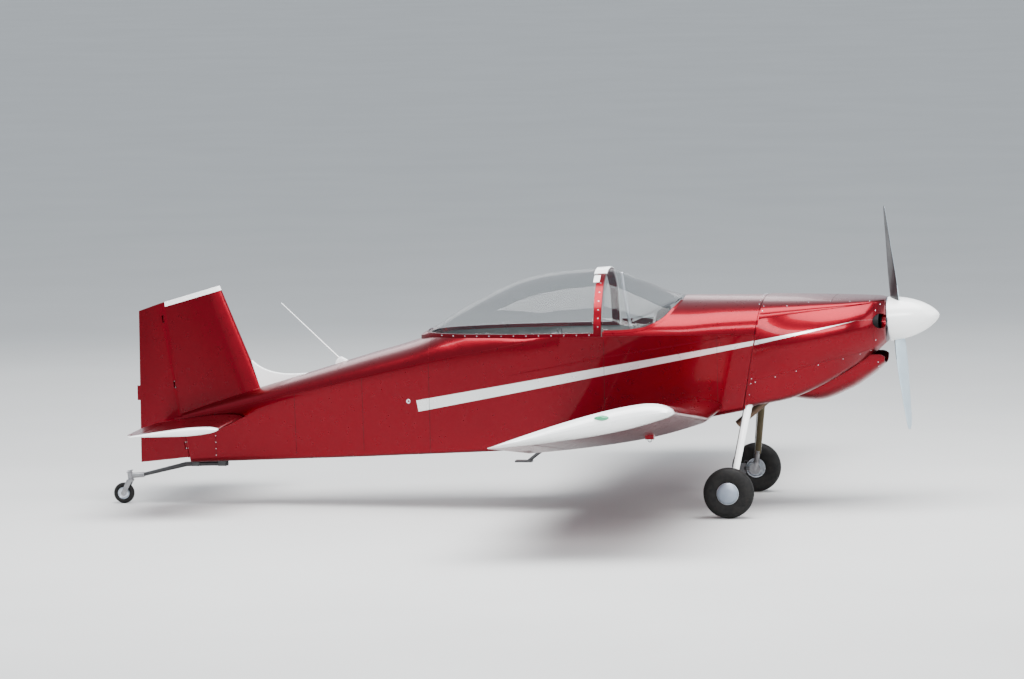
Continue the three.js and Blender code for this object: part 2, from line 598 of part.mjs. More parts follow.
const RUDDER = {
  trailTopX: -2812, trailFootX: -2818, thick: 20, noseRadius: 16, noseFoot: 300, noseTop: 1450,
};
const rudderTrail = (z) => RUDDER.trailFootX + ((z - 326) / 1060) * (RUDDER.trailTopX - RUDDER.trailFootX);
const rudderBlank = toSolid(loft([270, 900, 1470].map((z) => {
  const nose = [[0, 0.55], [0.12, 0.95], [0.3, 1], [1, 0.16]];
  const lead = hingeX(z) + 12;
  const half = nose.map(([s, w]) => [lead + (rudderTrail(z) - lead) * s, w * RUDDER.thick]);
  return [...half.map(([x, y]) => new THREE.Vector3(x, y, z)),
    ...half.map(([x, y]) => new THREE.Vector3(x, -y, z)).reverse()];
}), ['x', 'y']));
const rudderTop = (x) => topZ(HINGE_TOP.x) + ((x - HINGE_TOP.x) / (RUDDER.trailTopX - HINGE_TOP.x)) * -57;
const rudderBottom = (x) => 330 + ((x + 2513) / (-2785 + 2513)) * -29;
const rudderTab = block([-2836, -2, 745], [-2800, 2, 850]);
const eyeRoom = HINGE_EYES.map((z) => bar(hingePoint(z - EYE.roomHeight), hingePoint(z + EYE.roomHeight),
  EYE.roomRadius, 16));
const rudderPins = bar(hingePoint(330), hingePoint(1420), HINGE_PIN_RADIUS, 12);
const rudderNose = bar(hingePoint(RUDDER.noseFoot), hingePoint(RUDDER.noseTop), RUDDER.noseRadius, 16);
const rudderHeight = slab([-2900, -2300], rudderBottom, rudderTop, -300, 300);
const rudderBody = join(
  cut(common(join(rudderBlank, rudderNose), rudderHeight), ...eyeRoom),
  rudderPins,
  rudderTab,
);
add('rudder', rudderBody, 'red');

// Tailplane halves on a torque tube, with a servo tab on each trailing edge
const TAILPLANE = { leadX: -2030, leadZ: 642, trailX: -2675, trailZ: 589, tipY: 1053, thick: 30 };
const tailplaneDrop = (TAILPLANE.leadZ - TAILPLANE.trailZ) / (TAILPLANE.leadX - TAILPLANE.trailX);
const tailplaneShares = [[0, 0.05], [0.02, 0.38], [0.1, 0.78], [0.3, 1], [0.6, 0.72], [1, 0.1]];
function tailplaneSection(y, leadX, trailX, thick) {
  const half = tailplaneShares.map(([s, w]) => [leadX + (trailX - leadX) * s, w * thick]);
  const z = (x) => TAILPLANE.leadZ + tailplaneDrop * (x - TAILPLANE.leadX);
  return [...half.map(([x, h]) => new THREE.Vector3(x, y(x), z(x) + h)),
    ...half.map(([x, h]) => new THREE.Vector3(x, y(x), z(x) - h)).reverse()];
}
const rootEdge = (x) => 192 + ((x - TAILPLANE.leadX) / (TAILPLANE.trailX - TAILPLANE.leadX)) * -70;
const tailplaneBlank = toSolid(loft([
  tailplaneSection(rootEdge, TAILPLANE.leadX, TAILPLANE.trailX, TAILPLANE.thick),
  tailplaneSection(() => 1025, TAILPLANE.leadX, TAILPLANE.trailX, TAILPLANE.thick),
  tailplaneSection(() => 1045, TAILPLANE.leadX - 8, TAILPLANE.trailX + 4, TAILPLANE.thick * 0.75),
  tailplaneSection(() => TAILPLANE.tipY, TAILPLANE.leadX - 24, TAILPLANE.trailX + 10, TAILPLANE.thick * 0.3),
], ['x', 'z']));
const TAB = { from: 330, to: 880, hingeX: -2590, radius: 7 };
const tabHingeZ = TAILPLANE.leadZ + tailplaneDrop * (TAB.hingeX - TAILPLANE.leadX);
const tabAxis = (y) => [TAB.hingeX, y, tabHingeZ];
const tabSection = (y) => [
  [0, 7], [-125, 1.5], [-125, -1.5], [0, -7],
].map(([dx, dz]) => new THREE.Vector3(TAB.hingeX + dx, y, tabHingeZ + dz + tailplaneDrop * dx));
const tab = cut(
  join(toSolid(loft([TAB.from, TAB.to].map(tabSection), ['x', 'z'])),
    bar(tabAxis(TAB.from), tabAxis(TAB.to), TAB.radius, 16)),
  bar(tabAxis(TAB.from - 1), tabAxis(TAB.from + PIN_REACH), 3 + GAP, 12),
  bar(tabAxis(TAB.to - PIN_REACH), tabAxis(TAB.to + 1), 3 + GAP, 12),
);
const tabBay = join(
  block([-2800, TAB.from - MOVING_GAP, 400], [TAB.hingeX, TAB.to + MOVING_GAP, 800]),
  bar(tabAxis(TAB.from - MOVING_GAP), tabAxis(TAB.to + MOVING_GAP), TAB.radius + MOVING_GAP, 20),
);
const tailplaneHalf = join(
  cut(tailplaneBlank, tabBay),
  bar(tabAxis(TAB.from - 20), tabAxis(TAB.from + PIN_REACH - 2), 3, 12),
  bar(tabAxis(TAB.to - PIN_REACH + 2), tabAxis(TAB.to + 20), 3, 12),
);
add('tailplane', join(tailplaneHalf, mirrored(tailplaneHalf), pivotBar(TORQUE_TUBE_RADIUS)), 'white');
add('tab_left', tab, 'white');
add('tab_right', mirrored(tab), 'white');

// Whip antenna on its foot
const ANTENNA_FOOT = [[-1271, 1010], [-1300, 1034], [-1345, 1052], [-1368, 1030], [-1383, 990], [-1271, 990]];
add('antenna', cut(join(plateXZ(ANTENNA_FOOT, -9, 9),
  bar([-1336, 0, 1030], [-1770, 0, 1442], 5, 10, 2.5)), tailRoom), 'white');

// Turned pieces: a closed profile of radius and height about the Y axis, or about another line
function spun(profile, segments = 28) {
  const points = profile.map(([radius, height]) => new THREE.Vector2(radius, height));
  return toSolid(new THREE.LatheGeometry([...points, points[0]], segments));
}
function turnedOn(profile, centre, axis, segments) {
  const turn = new THREE.Matrix4().makeRotationFromQuaternion(new THREE.Quaternion()
    .setFromUnitVectors(new THREE.Vector3(0, 1, 0), axis));
  turn.setPosition(...centre);
  return spun(profile, segments).transform(turn.elements);
}
const CROSSWISE = new THREE.Vector3(0, 1, 0);

// Main gear: a tapered leg with its axle and brake, a wheel and a tyre on each side
const AXLE = { x: 1533, y: 795, z: 177 };
const TYRE_PROFILE = [[70, 50], [84, 57], [120, 63], [152, 58], [170, 42], [177, 20], [177, -20],
  [170, -42], [152, -58], [120, -63], [84, -57], [70, -50]];
const WHEEL_PROFILE = [[0, 86], [32, 82], [58, 72], [74, 59], [70 - GAP, 53], [70 - GAP, -52],
  [62, -52], [56, -30], [34, -30], [28, -48], [15 + GAP, -48], [15 + GAP, 40], [0, 40]];
const LEG = { top: [1640, 372, 800], foot: [1548, 698, 205] };
const legSection = ([x, y, z], chord, thick) => Array.from({ length: 12 }, (_, i) => {
  const angle = (i / 12) * Math.PI * 2;
  return new THREE.Vector3(x + Math.cos(angle) * chord, y + Math.sin(angle) * thick, z);
});
const legBlank = join(
  toSolid(loft([legSection(LEG.foot, 21, 13), legSection(LEG.top, 27, 21)], ['x', 'y'])),
  bar([LEG.foot[0], 698, 222], [AXLE.x, 698, AXLE.z - 18], 21),
  bar([AXLE.x, 684, AXLE.z], [AXLE.x, 712, AXLE.z], 40, 24),
  bar([AXLE.x, 700, AXLE.z], [AXLE.x, AXLE.y + 36, AXLE.z], 15, 20),
);
const calliper = join(
  block([AXLE.x - 112, 700, AXLE.z - 36], [AXLE.x - 64, 722, AXLE.z + 36]),
  block([AXLE.x - 80, 700, AXLE.z - 16], [AXLE.x, 710, AXLE.z + 16]),
);
const gearLeg = join(cut(legBlank, grown(bodyOuter, GAP)), calliper);
const WHEEL_CENTRE = [AXLE.x, AXLE.y, AXLE.z];
const wheel = turnedOn(WHEEL_PROFILE, WHEEL_CENTRE, CROSSWISE, 36);
const tyre = turnedOn(TYRE_PROFILE, WHEEL_CENTRE, CROSSWISE, 36);
for (const [side, sign] of SIDES) {
  const handed = (solid) => (sign > 0 ? solid : mirrored(solid));
  add(`gear_leg_${side}`, handed(gearLeg), 'white');
  add(`main_wheel_${side}`, handed(wheel), 'aluminium');
  add(`main_tyre_${side}`, handed(tyre), 'rubber');
}

// Tail spring, the swivelling fork and the tail wheel
const TAIL_WHEEL = { x: -2950, z: 75, radius: 75, halfWidth: 24 };
const SPRING_END = [-2806, 0, 207];
const SWIVEL = { x: -2902, low: 168, high: 232, bore: 9 };
const SWIVEL_LEAN = 0.12;
const swivelPoint = (z) => [SWIVEL.x - SWIVEL_LEAN * (z - 197), 0, z];
const tailSpring = join(
  bar([-2180, 0, 290], [-2487, 0, 284], 17, 14),
  bar([-2487, 0, 284], SPRING_END, 17, 14, 13),
  bar([-2800, 0, 207], [-2885, 0, 201], 19, 16),
  bar(swivelPoint(SWIVEL.low + 12), swivelPoint(SWIVEL.high - 12), 21, 20),
  block([-2250, -30, 270], [-2190, 30, 330]),
  block([-2440, -24, 270], [-2390, 24, 330]),
);
const stemBore = bar(swivelPoint(100), swivelPoint(300), SWIVEL.bore + GAP);
add('tail_spring', cut(tailSpring, grown(tailCone, GAP), stemBore), 'steel');
const forkCrown = join(
  bar(swivelPoint(SWIVEL.low), swivelPoint(SWIVEL.high + 6), SWIVEL.bore),
  bar(swivelPoint(SWIVEL.low - 6), swivelPoint(SWIVEL.low + 11.5), 20, 20),
  bar(swivelPoint(SWIVEL.high - 11.5), swivelPoint(SWIVEL.high + 6), 16, 20),
  block([SWIVEL.x - 22, -37, 158], [SWIVEL.x + 20, 37, 172]),
  block([SWIVEL.x - 12, -74, SWIVEL.high - 4], [SWIVEL.x + 4, 74, SWIVEL.high + 3]),
);
const forkLeg = join(
  plateXZ([[SWIVEL.x + 20, 170], [SWIVEL.x - 22, 170], [TAIL_WHEEL.x - 16, TAIL_WHEEL.z],
    [TAIL_WHEEL.x + 16, TAIL_WHEEL.z - 8]], 31, 37),
  bar([TAIL_WHEEL.x, 31, TAIL_WHEEL.z], [TAIL_WHEEL.x, 37, TAIL_WHEEL.z], 17, 20),
);
const tailAxle = bar([TAIL_WHEEL.x, -40, TAIL_WHEEL.z], [TAIL_WHEEL.x, 40, TAIL_WHEEL.z], 7, 16);
add('tail_fork', join(forkCrown, forkLeg, mirrored(forkLeg), tailAxle), 'steel');
const TAIL_TYRE_PROFILE = [[43, 19], [56, 24], [68, 20], [75, 9], [75, -9], [68, -20], [56, -24], [43, -19]];
const TAIL_HUB_PROFILE = [[7 + GAP, 28], [16, 28], [20, 14], [36, 12], [43 - GAP, 20], [43 - GAP, -20],
  [36, -12], [20, -14], [16, -28], [7 + GAP, -28]];
const tailCentre = [TAIL_WHEEL.x, 0, TAIL_WHEEL.z];
add('tail_hub', turnedOn(TAIL_HUB_PROFILE, tailCentre, CROSSWISE, 24), 'aluminium');
add('tail_tyre', turnedOn(TAIL_TYRE_PROFILE, tailCentre, CROSSWISE, 32), 'rubber');

// Propeller and spinner on the thrust line
const SPINNER = { radius: 155, back: -49, tip: 300 };
const spinnerRadius = (t) => SPINNER.radius * (1 - t ** 1.9) ** 0.62;
const spinnerSteps = [0, 0.15, 0.32, 0.5, 0.66, 0.8, 0.9, 0.965];
const spinnerLength = SPINNER.tip - SPINNER.back;
const spinnerOuter = spinnerSteps.map((t) => [spinnerRadius(t), SPINNER.back + t * spinnerLength]);
const spinnerInner = spinnerSteps.slice(0, -1)
  .map((t) => [spinnerRadius(t) - 6, SPINNER.back + t * spinnerLength]).reverse();
const spinnerProfile = [...spinnerOuter, [0, SPINNER.tip], [0, SPINNER.back + 0.88 * spinnerLength],
  ...spinnerInner];
const BLADE = { radius: 835, turn: THREE.MathUtils.degToRad(15) };
// Columns: share of the radius, chord, thickness, pitch in degrees.
const BLADE_FORM = [
  [0.05, 84, 46, 50], [0.16, 96, 34, 42], [0.3, 124, 24, 33], [0.5, 146, 17, 24],
  [0.75, 138, 12, 17], [0.92, 112, 8, 14], [0.985, 70, 6, 13], [1, 30, 4, 13],
];
function bladeOutline([share, chord, thick, pitchDegrees]) {
  const pitch = THREE.MathUtils.degToRad(pitchDegrees);
  return Array.from({ length: 14 }, (_, i) => {
    const angle = (i / 14) * Math.PI * 2;
    const along = (Math.cos(angle) * chord) / 2;
    const out = (Math.sin(angle) * thick) / 2;
    return new THREE.Vector3(
      out * Math.cos(pitch) + along * Math.sin(pitch),
      -along * Math.cos(pitch) + out * Math.sin(pitch),
      share * BLADE.radius,
    );
  });
}
const bladeBlank = toSolid(loft(BLADE_FORM.map(bladeOutline), ['x', 'y']));
const toHub = (rollAngle) => {
  const roll = new THREE.Matrix4().makeRotationX(rollAngle);
  const tilt = new THREE.Matrix4().makeRotationY(-THRUST_TILT);
  const matrix = tilt.multiply(roll);
  matrix.setPosition(HUB);
  return matrix.elements;
};
const blades = [0, Math.PI].map((half) => bladeBlank.transform(toHub(BLADE.turn + half)));
const propeller = join(
  ...blades,
  bar(onThrust(-40), onThrust(46), 72, 28),
  bar(onThrust(SPINNER.back - 7), onThrust(SPINNER.back - GAP), SPINNER.radius - 2, 36),
  bar(onThrust(SPINNER.back - 4), onThrust(-38), 60, 28),
  bar(onThrust(-96), onThrust(SPINNER.back - 4), 55, 24),
);
add('propeller', propeller, 'black');
const spinnerShell = turnedOn(spinnerProfile, HUB.toArray(), THRUST, 28);
add('spinner', cut(spinnerShell, ...blades.map((blade) => grown(blade, 1.2))), 'white');

// Engine, one plain block on its mount: crankcase, cylinders, sump and shaft
const CRANKCASE = [[1830, -170, 1120], [2330, 170, 1345]];
const CYLINDERS = [[1900, -385, 1175], [2200, 385, 1308]];
const SUMP = [[1850, -150, 1000], [2180, 150, 1125]];
const MOUNT = {
  radius: 13, footY: 260, footZ: 1130, footRise: 150, topX: 1860, topY: 130, topZ: 1220, topRise: 70,
};
const mountLeg = (y, z) => {
  const foot = MOUNT.footZ + z * MOUNT.footRise;
  const footX = FIREWALL_FOOT.x + FIREWALL_LEAN * (foot - FIREWALL_FOOT.z) - 5;
  const top = [MOUNT.topX, y * MOUNT.topY, MOUNT.topZ + z * MOUNT.topRise];
  return bar([footX, y * MOUNT.footY, foot], top, MOUNT.radius, 12);
};
const engine = join(
  block(...CRANKCASE),
  block(...CYLINDERS),
  block(...SUMP),
  bar(onThrust(-330), onThrust(-96 - GAP), SHAFT_RADIUS, 24),
  ...[[-1, 1], [1, 1], [-1, -1], [1, -1]].map(([y, z]) => mountLeg(y, z)),
);
add('engine_block', common(engine, firewallSide(true, GAP)), 'castMetal');

// Exhaust pipes, from the cylinders down and out behind the cowling
const PIPE = { radius: 27, bore: 23 };
const PIPE_ROUTE = [[2030, 175, 1185], [2000, 175, 980], [1740, 160, 768], [1522, 150, 588]];
const pipeRoute = (sign) => {
  const points = PIPE_ROUTE.map(([x, y, z]) => [x, sign * y, z]);
  return join(...points.slice(1).map((point, i) => bar(points[i], point, PIPE.radius)));
};
const pipeBore = (sign) => bar([1700, sign * 158.2, 735], [1500, sign * 149, 569.8], PIPE.bore);

// Cabin: firewall, panel, seats and controls
const insideCabin = toSolid(loft(cabinRows.map((row) => inset(fuselageOutline(row), WALL + GAP))));
add('firewall', common(bodyOuter, firewallSide(true, -FIREWALL_THICK), firewallSide(false, 0)), 'primer');
for (const [side, sign] of SIDES) {
  add(`exhaust_${side}`, largest(cut(pipeRoute(sign), pipeBore(sign), grown(engine, GAP))), 'steel');
}
// A plate across the whole cabin, which its inner walls cut off.
const acrossCabin = (outline) => common(cut(plateXZ(outline, -500, 500), wingRoom), insideCabin);
const panelPlate = acrossCabin([[952, 1120], [970, 1120], [986, 1410], [968, 1410]]);
const glareshield = acrossCabin([[822, 1335], [1090, 1448], [1100, 1466], [815, 1352]]);
add('instrument_panel', join(panelPlate, glareshield), 'black');
const SEAT = { y: 212, half: 178 };
const seatPan = plateXZ([[640, 862], [680, 900], [670, 918], [300, 872], [180, 1230], [150, 1238],
  [120, 1215], [240, 800], [290, 780]], SEAT.y - SEAT.half, SEAT.y + SEAT.half);
for (const [side, sign] of SIDES) add(`seat_${side}`, sign > 0 ? seatPan : mirrored(seatPan), 'cloth');
const seatBase = acrossCabin([[600, 600], [620, 600], [620, 857], [291, 779.5], [239, 799.5], [150, 1100],
  [130, 1100], [225, 790], [225, 600]]);
add('seat_base', largest(seatBase), 'primer');
const shelf = acrossCabin([[224, 700], [224, 720], [-600, 800], [-620, 1210], [-639, 1210], [-639, 780]]);
add('baggage_shelf', shelf, 'primer');
const floorBoard = largest(acrossCabin([[621, 700], [621, 780], [1100, 800], [1500, 850], [1600, 870],
  [1600, 850], [1500, 830], [1100, 780]]));
add('floor', floorBoard, 'primer');
const STICK = { radius: 11, gripRadius: 17, foot: [760, 786], neck: [800, 1030], top: [806, 1140] };
const stickBar = (sign, [fromX, fromZ], [toX, toZ], radius) => bar([fromX, sign * SEAT.y, fromZ],
  [toX, sign * SEAT.y, toZ], radius, 12);
const stick = (sign) => join(
  stickBar(sign, STICK.foot, STICK.neck, STICK.radius),
  stickBar(sign, STICK.neck, STICK.top, STICK.gripRadius),
);
const sticks = join(stick(1), stick(-1), bar([760, -250, 800], [760, 250, 800], 16, 12));
add('control_sticks', cut(sticks, grown(floorBoard, GAP)), 'black');

// Chin scoop under the nose. Columns: x, bottom z, half-width, top z.
const SCOOP = [
  [1900, 768, 150, 830], [2076, 748, 178, 900], [2317, 829, 190, 1010], [2440, 905, 184, 1080],
  [2530, 975, 172, 1082], [2564, 1010, 160, 1064],
];
const scoopOutline = ([x, bottom, half, top]) => Array.from({ length: 17 }, (_, i) => {
  const angle = Math.PI + (i / 16) * Math.PI;
  const drop = Math.abs(Math.sin(angle)) ** 0.6;
  return new THREE.Vector3(x, half * Math.cos(angle), top - (top - bottom) * drop);
});
const scoopOuter = toSolid(loft(SCOOP.map(scoopOutline)));
const SCOOP_WALL = 9;
const scoopInner = toSolid(loft(SCOOP.map((row, i) => scoopOutline([
  row[0] + (i === 0 ? -2 : 0) + (i === SCOOP.length - 1 ? 3 : 0),
  row[1] + SCOOP_WALL,
  row[2] - SCOOP_WALL,
  row[3] + 6,
]))));
add('chin_scoop', cut(scoopOuter, scoopInner, grown(cowlOuter, GAP)), 'red');

// Entry steps, each on a strut from the fuselage's lower edge
const STEP = { aft: -19, ahead: 101, inner: 412, outer: 488, low: 353, high: 365, strutY: 436 };
const step = cut(join(
  bar([215, STEP.strutY, 470], [74, STEP.strutY + 8, STEP.low + 8], 12, 12),
  block([STEP.aft, STEP.inner, STEP.low], [STEP.ahead, STEP.outer, STEP.high]),
), grown(bodyOuter, GAP));
add('step_left', step, 'black');
add('step_right', mirrored(step), 'black');

export default aircraft;
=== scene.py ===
"""A two-seat low-wing light aircraft standing on its tail wheel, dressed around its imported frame."""

import json
import logging
import math
from dataclasses import dataclass
from enum import Enum
from typing import Callable, Iterable, Sequence

import bmesh
import bpy
from mathutils import Matrix, Vector


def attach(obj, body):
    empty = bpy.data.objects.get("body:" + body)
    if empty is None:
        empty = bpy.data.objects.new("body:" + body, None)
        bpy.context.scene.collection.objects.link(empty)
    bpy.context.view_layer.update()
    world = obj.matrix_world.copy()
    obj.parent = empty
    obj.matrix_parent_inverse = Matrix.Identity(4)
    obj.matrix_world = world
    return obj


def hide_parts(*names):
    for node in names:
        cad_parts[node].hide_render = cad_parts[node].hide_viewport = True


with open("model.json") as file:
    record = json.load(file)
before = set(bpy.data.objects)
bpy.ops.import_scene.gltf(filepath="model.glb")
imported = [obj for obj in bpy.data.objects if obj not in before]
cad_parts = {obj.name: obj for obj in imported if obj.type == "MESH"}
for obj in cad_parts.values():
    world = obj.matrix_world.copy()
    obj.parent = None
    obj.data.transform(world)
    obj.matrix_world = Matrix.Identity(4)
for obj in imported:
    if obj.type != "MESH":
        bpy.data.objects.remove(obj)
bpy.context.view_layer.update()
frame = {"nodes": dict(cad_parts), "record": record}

LOG = logging.getLogger("aircraft")

# Units and shared sizes in millimetres: how far the frame stands ahead of the drawing's datum, half the
# width of the spaces that the body is cut with, and the power that rounds the canopy's arches
MM = 0.001
SHIFT = 43.0
WIDE = 900.0
ARCH = 0.94

# Short names for types
Pair = tuple[float, float]
Point = tuple[float, float, float]
Spot = tuple[Vector, Vector]
Row = Sequence[float]
Outline = Sequence[Pair]
Shape = Callable[[float], list[Pair]]
Mesh = bmesh.types.BMesh
Material = bpy.types.Material
Tree = bpy.types.NodeTree
Node = bpy.types.Node
Socket = bpy.types.NodeSocket
Object = bpy.types.Object

# The nodes that the pieces built so far stand for
REPLACED: set[str] = set()


class Side(Enum):
    """The two sides of the aircraft, as the sign of Y."""

    LEFT = 1
    RIGHT = -1

    @property
    def word(self) -> str:
        """Gives the side as it stands in the names of pieces."""
        return self.name.lower()

    def handed(self, left: Mesh) -> Mesh:
        """Gives this side's copy of a mesh made for the left."""
        return left.copy() if self is Side.LEFT else mirrored(left)


class Edge(Enum):
    """How a mesh's faces are shaded: the angle in degrees past which an edge stays sharp."""

    SMOOTH = 180
    PANEL = 32
    CRISP = 18


def at(x: float, y: float, z: float) -> Vector:
    """Turns a place in the aircraft's own millimetres into scene metres.

    Args:
        x: millimetres forward of the drawing's datum.
        y: millimetres to the left of the centre line.
        z: millimetres above the ground.

    Returns:
        The same place in metres in the shared frame.
    """
    return Vector(((x + SHIFT) * MM, y * MM, z * MM))


def straight(table: Sequence[Row], column: int, x: float) -> float:
    """Reads a column of a table at x, straight between its rows.

    Args:
        table: rows whose first column is x.
        column: the column wanted.
        x: where to read it.

    Returns:
        The value at x.
    """
    rows = sorted(table, key=lambda row: row[0])
    low = rows[0]
    for high in rows[1:]:
        if x <= high[0] or high is rows[-1]:
            share = (x - low[0]) / (high[0] - low[0])
            return low[column] + share * (high[column] - low[column])
        low = high
    return low[column]


def flowing(table: Sequence[Row], column: int, x: float) -> float:
    """Reads a column of a table at x on a smooth curve that never overshoots its rows.

    Args:
        table: rows whose first column is x.
        column: the column wanted.
        x: where to read it.

    Returns:
        The value at x.
    """
    rows = sorted(table, key=lambda row: row[0])
    xs = [row[0] for row in rows]
    ys = [row[column] for row in rows]
    if x <= xs[0] or x >= xs[-1]:
        return straight(rows, column, x)
    i = max(k for k in range(len(xs) - 1) if xs[k] <= x)
    slopes = [(ys[k + 1] - ys[k]) / (xs[k + 1] - xs[k]) for k in range(len(xs) - 1)]

    def tangent(k: int) -> float:
        """The curve's slope at row k.

        Args:
            k: the row's number.

        Returns:
            The slope.
        """
        if k == 0 or k == len(xs) - 1:
            return slopes[min(k, len(slopes) - 1)]
        a, b = slopes[k - 1], slopes[k]
        return 0.0 if a * b <= 0 else 2 * a * b / (a + b)

    width = xs[i + 1] - xs[i]
    t = (x - xs[i]) / width
    return (
        ys[i] * (1 + 2 * t) * (1 - t) ** 2
        + tangent(i) * width * t * (1 - t) ** 2
        + ys[i + 1] * t * t * (3 - 2 * t)
        + tangent(i + 1) * width * t * t * (t - 1)
    )


def on_line(x: float, first: Pair, last: Pair) -> float:
    """Gives the value at x on the straight line through two points."""
    return first[1] + (x - first[0]) / (last[0] - first[0]) * (last[1] - first[1])


def spread(low: float, high: float, count: int) -> list[float]:
    """Gives count + 1 values from low to high at even steps."""
    return [low + (high - low) * i / count for i in range(count + 1)]


def turns(count: int) -> list[float]:
    """Gives so many even angles of a whole turn."""
    return [i / count * math.tau for i in range(count)]


def arch(turn: float, half: float, foot: float, top: float) -> Pair:
    """Gives y and z of the canopy's rounded arch at an angle from its left foot.

    Args:
        turn: the angle, up to half a turn.
        half: the arch's half-width.
        foot: the height of its feet.
        top: the height of its top.

    Returns:
        Values of y and z in millimetres.
    """
    reach = math.copysign(abs(math.cos(turn)) ** ARCH, math.cos(turn))
    return half * reach, foot + (top - foot) * abs(math.sin(turn)) ** ARCH


def sheet_mesh(rows: Sequence[Sequence[Vector]]) -> Mesh:
    """Makes a grid and lays each of its vertices on the given rows of points.

    Args:
        rows: rows of places, all of one length.

    Returns:
        The mesh, with points that fall together merged.
    """
    across, along = len(rows[0]) - 1, len(rows) - 1
    bm = bmesh.new()
    bmesh.ops.create_grid(bm, x_segments=across, y_segments=along, size=0.5)
    for vert in bm.verts:
        column = round((vert.co.x + 0.5) * across)
        row = round((vert.co.y + 0.5) * along)
        vert.co = rows[row][column]
    bmesh.ops.remove_doubles(bm, verts=bm.verts[:], dist=2e-5)
    return bm


def closed_mesh(rows: Sequence[Sequence[Vector]]) -> Mesh:
    """Makes a closed body through closed outlines, with flat ends.

    Args:
        rows: outlines of one length, each without its first point repeated.

    Returns:
        The closed mesh with its faces pointing out.
    """
    bm = sheet_mesh([[*row, row[0]] for row in rows])
    open_edges = [edge for edge in bm.edges if edge.is_boundary]
    bmesh.ops.holes_fill(bm, edges=open_edges, sides=0)
    bmesh.ops.recalc_face_normals(bm, faces=bm.faces[:])
    return bm


def box_mesh(low: Point, high: Point) -> Mesh:
    """Makes a block between two corners given in the aircraft's millimetres.

    Args:
        low: its corner with the lowest values.
        high: the opposite corner.

    Returns:
        The closed block.
    """
    bm = bmesh.new()
    bmesh.ops.create_cube(bm, size=1.0)
    first, last = at(*low), at(*high)
    size = last - first
    middle = (first + last) / 2
    for vert in bm.verts:
        vert.co = Vector(tuple(vert.co[i] * size[i] for i in range(3))) + middle
    return bm


def rod_mesh(start: Vector, end: Vector, radius: float, end_radius: float | None = None,
             sides: int = 20) -> Mesh:
    """Makes a round bar from one place to another.

    Args:
        start: the middle of its first end.
        end: the middle of its other end.
        radius: its radius in metres at the start.
        end_radius: its radius at the end, where it differs.
        sides: how many faces it has around.

    Returns:
        The closed bar.
    """
    bm = bmesh.new()
    along = end - start
    bmesh.ops.create_cone(bm, cap_ends=True, segments=sides, radius1=radius,
                          radius2=radius if end_radius is None else end_radius, depth=along.length)
    turn = Vector((0, 0, 1)).rotation_difference(along).to_matrix().to_4x4()
    bmesh.ops.transform(bm, matrix=Matrix.Translation((start + end) / 2) @ turn, verts=bm.verts[:])
    return bm


def spun_mesh(profile: Outline, centre: Vector, axis: Vector,
              steps: int = 64) -> Mesh:
    """Spins a closed profile of radius and height about an axis.

    Args:
        profile: radius and height in millimetres, in order round the section.
        centre: the place of height 0 on the axis.
        axis: the direction of the axis.
        steps: how many faces it has around.

    Returns:
        The closed mesh.
    """
    bm = bmesh.new()
    verts = [bm.verts.new((r * MM, 0.0, h * MM)) for r, h in profile]
    edges = [bm.edges.new((a, b)) for a, b in zip(verts, verts[1:] + verts[:1])
             if not (a.co.x == 0 and b.co.x == 0)]
    bmesh.ops.spin(bm, geom=verts + edges, cent=(0, 0, 0), axis=(0, 0, 1), angle=math.tau,
                   steps=steps, use_merge=True)
    bmesh.ops.remove_doubles(bm, verts=bm.verts[:], dist=1e-6)
    loose = [vert for vert in bm.verts if not vert.link_faces]
    bmesh.ops.delete(bm, geom=loose, context="VERTS")
    bmesh.ops.recalc_face_normals(bm, faces=bm.faces[:])
    turn = Vector((0, 0, 1)).rotation_difference(axis).to_matrix().to_4x4()
    bmesh.ops.transform(bm, matrix=Matrix.Translation(centre) @ turn, verts=bm.verts[:])
    return bm


def merged(parts: Iterable[Mesh]) -> Mesh:
    """Joins several meshes into one and frees them.

    Args:
        parts: the meshes, freed here.

    Returns:
        One mesh of them all.
    """
    whole = bmesh.new()
    for part in parts:
        holder = bpy.data.meshes.new("holder")
        part.to_mesh(holder)
        part.free()
        whole.from_mesh(holder)
        bpy.data.meshes.remove(holder)
    return whole


def mirrored(bm: Mesh) -> Mesh:
    """Gives a copy of a mesh on the other side of the centre line.

    Args:
        bm: the mesh, which stays as it is.

    Returns:
        The copy.
    """
    other = bm.copy()
    bmesh.ops.scale(other, vec=(1, -1, 1), verts=other.verts[:])
    bmesh.ops.reverse_faces(other, faces=other.faces[:])
    return other


@dataclass
class Piece:
    """One finished object: its mesh, finish, body and the nodes it stands for."""

    name: str
    mesh: Mesh
    finish: Material
    body: str = "root"
    slot: str = ""
    replaces: tuple[str, ...] = ()
    edge: Edge = Edge.PANEL
    bevel: float = 0.0
    bevel_steps: int = 2
    bevel_from: float = 40.0
    levels: int = 0

    def build(self) -> Object:
        """Returns:
            The new object, at the origin and unturned.
        """
        data = bpy.data.meshes.new(self.name)
        self.mesh.normal_update()
        self.mesh.to_mesh(data)
        self.mesh.free()
        data.set_sharp_from_angle(angle=math.radians(self.edge.value))
        for polygon in data.polygons:
            polygon.use_smooth = True
        data.materials.append(self.finish)
        piece = bpy.data.objects.new(self.name, data)
        bpy.context.scene.collection.objects.link(piece)
        if self.bevel:
            round_off = piece.modifiers.new("round", "BEVEL")
            round_off.width = self.bevel
            round_off.segments = self.bevel_steps
            round_off.limit_method = "ANGLE"
            round_off.angle_limit = math.radians(self.bevel_from)
            round_off.harden_normals = True
        if self.levels:
            smooth = piece.modifiers.new("smooth", "SUBSURF")
            smooth.levels = self.levels
            smooth.render_levels = self.levels
        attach(piece, self.body)
        if self.replaces:
            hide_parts(*self.replaces)
            REPLACED.update(self.replaces)
        LOG.info("%s: %d faces on %s", self.name, len(data.polygons), self.body)
        return piece


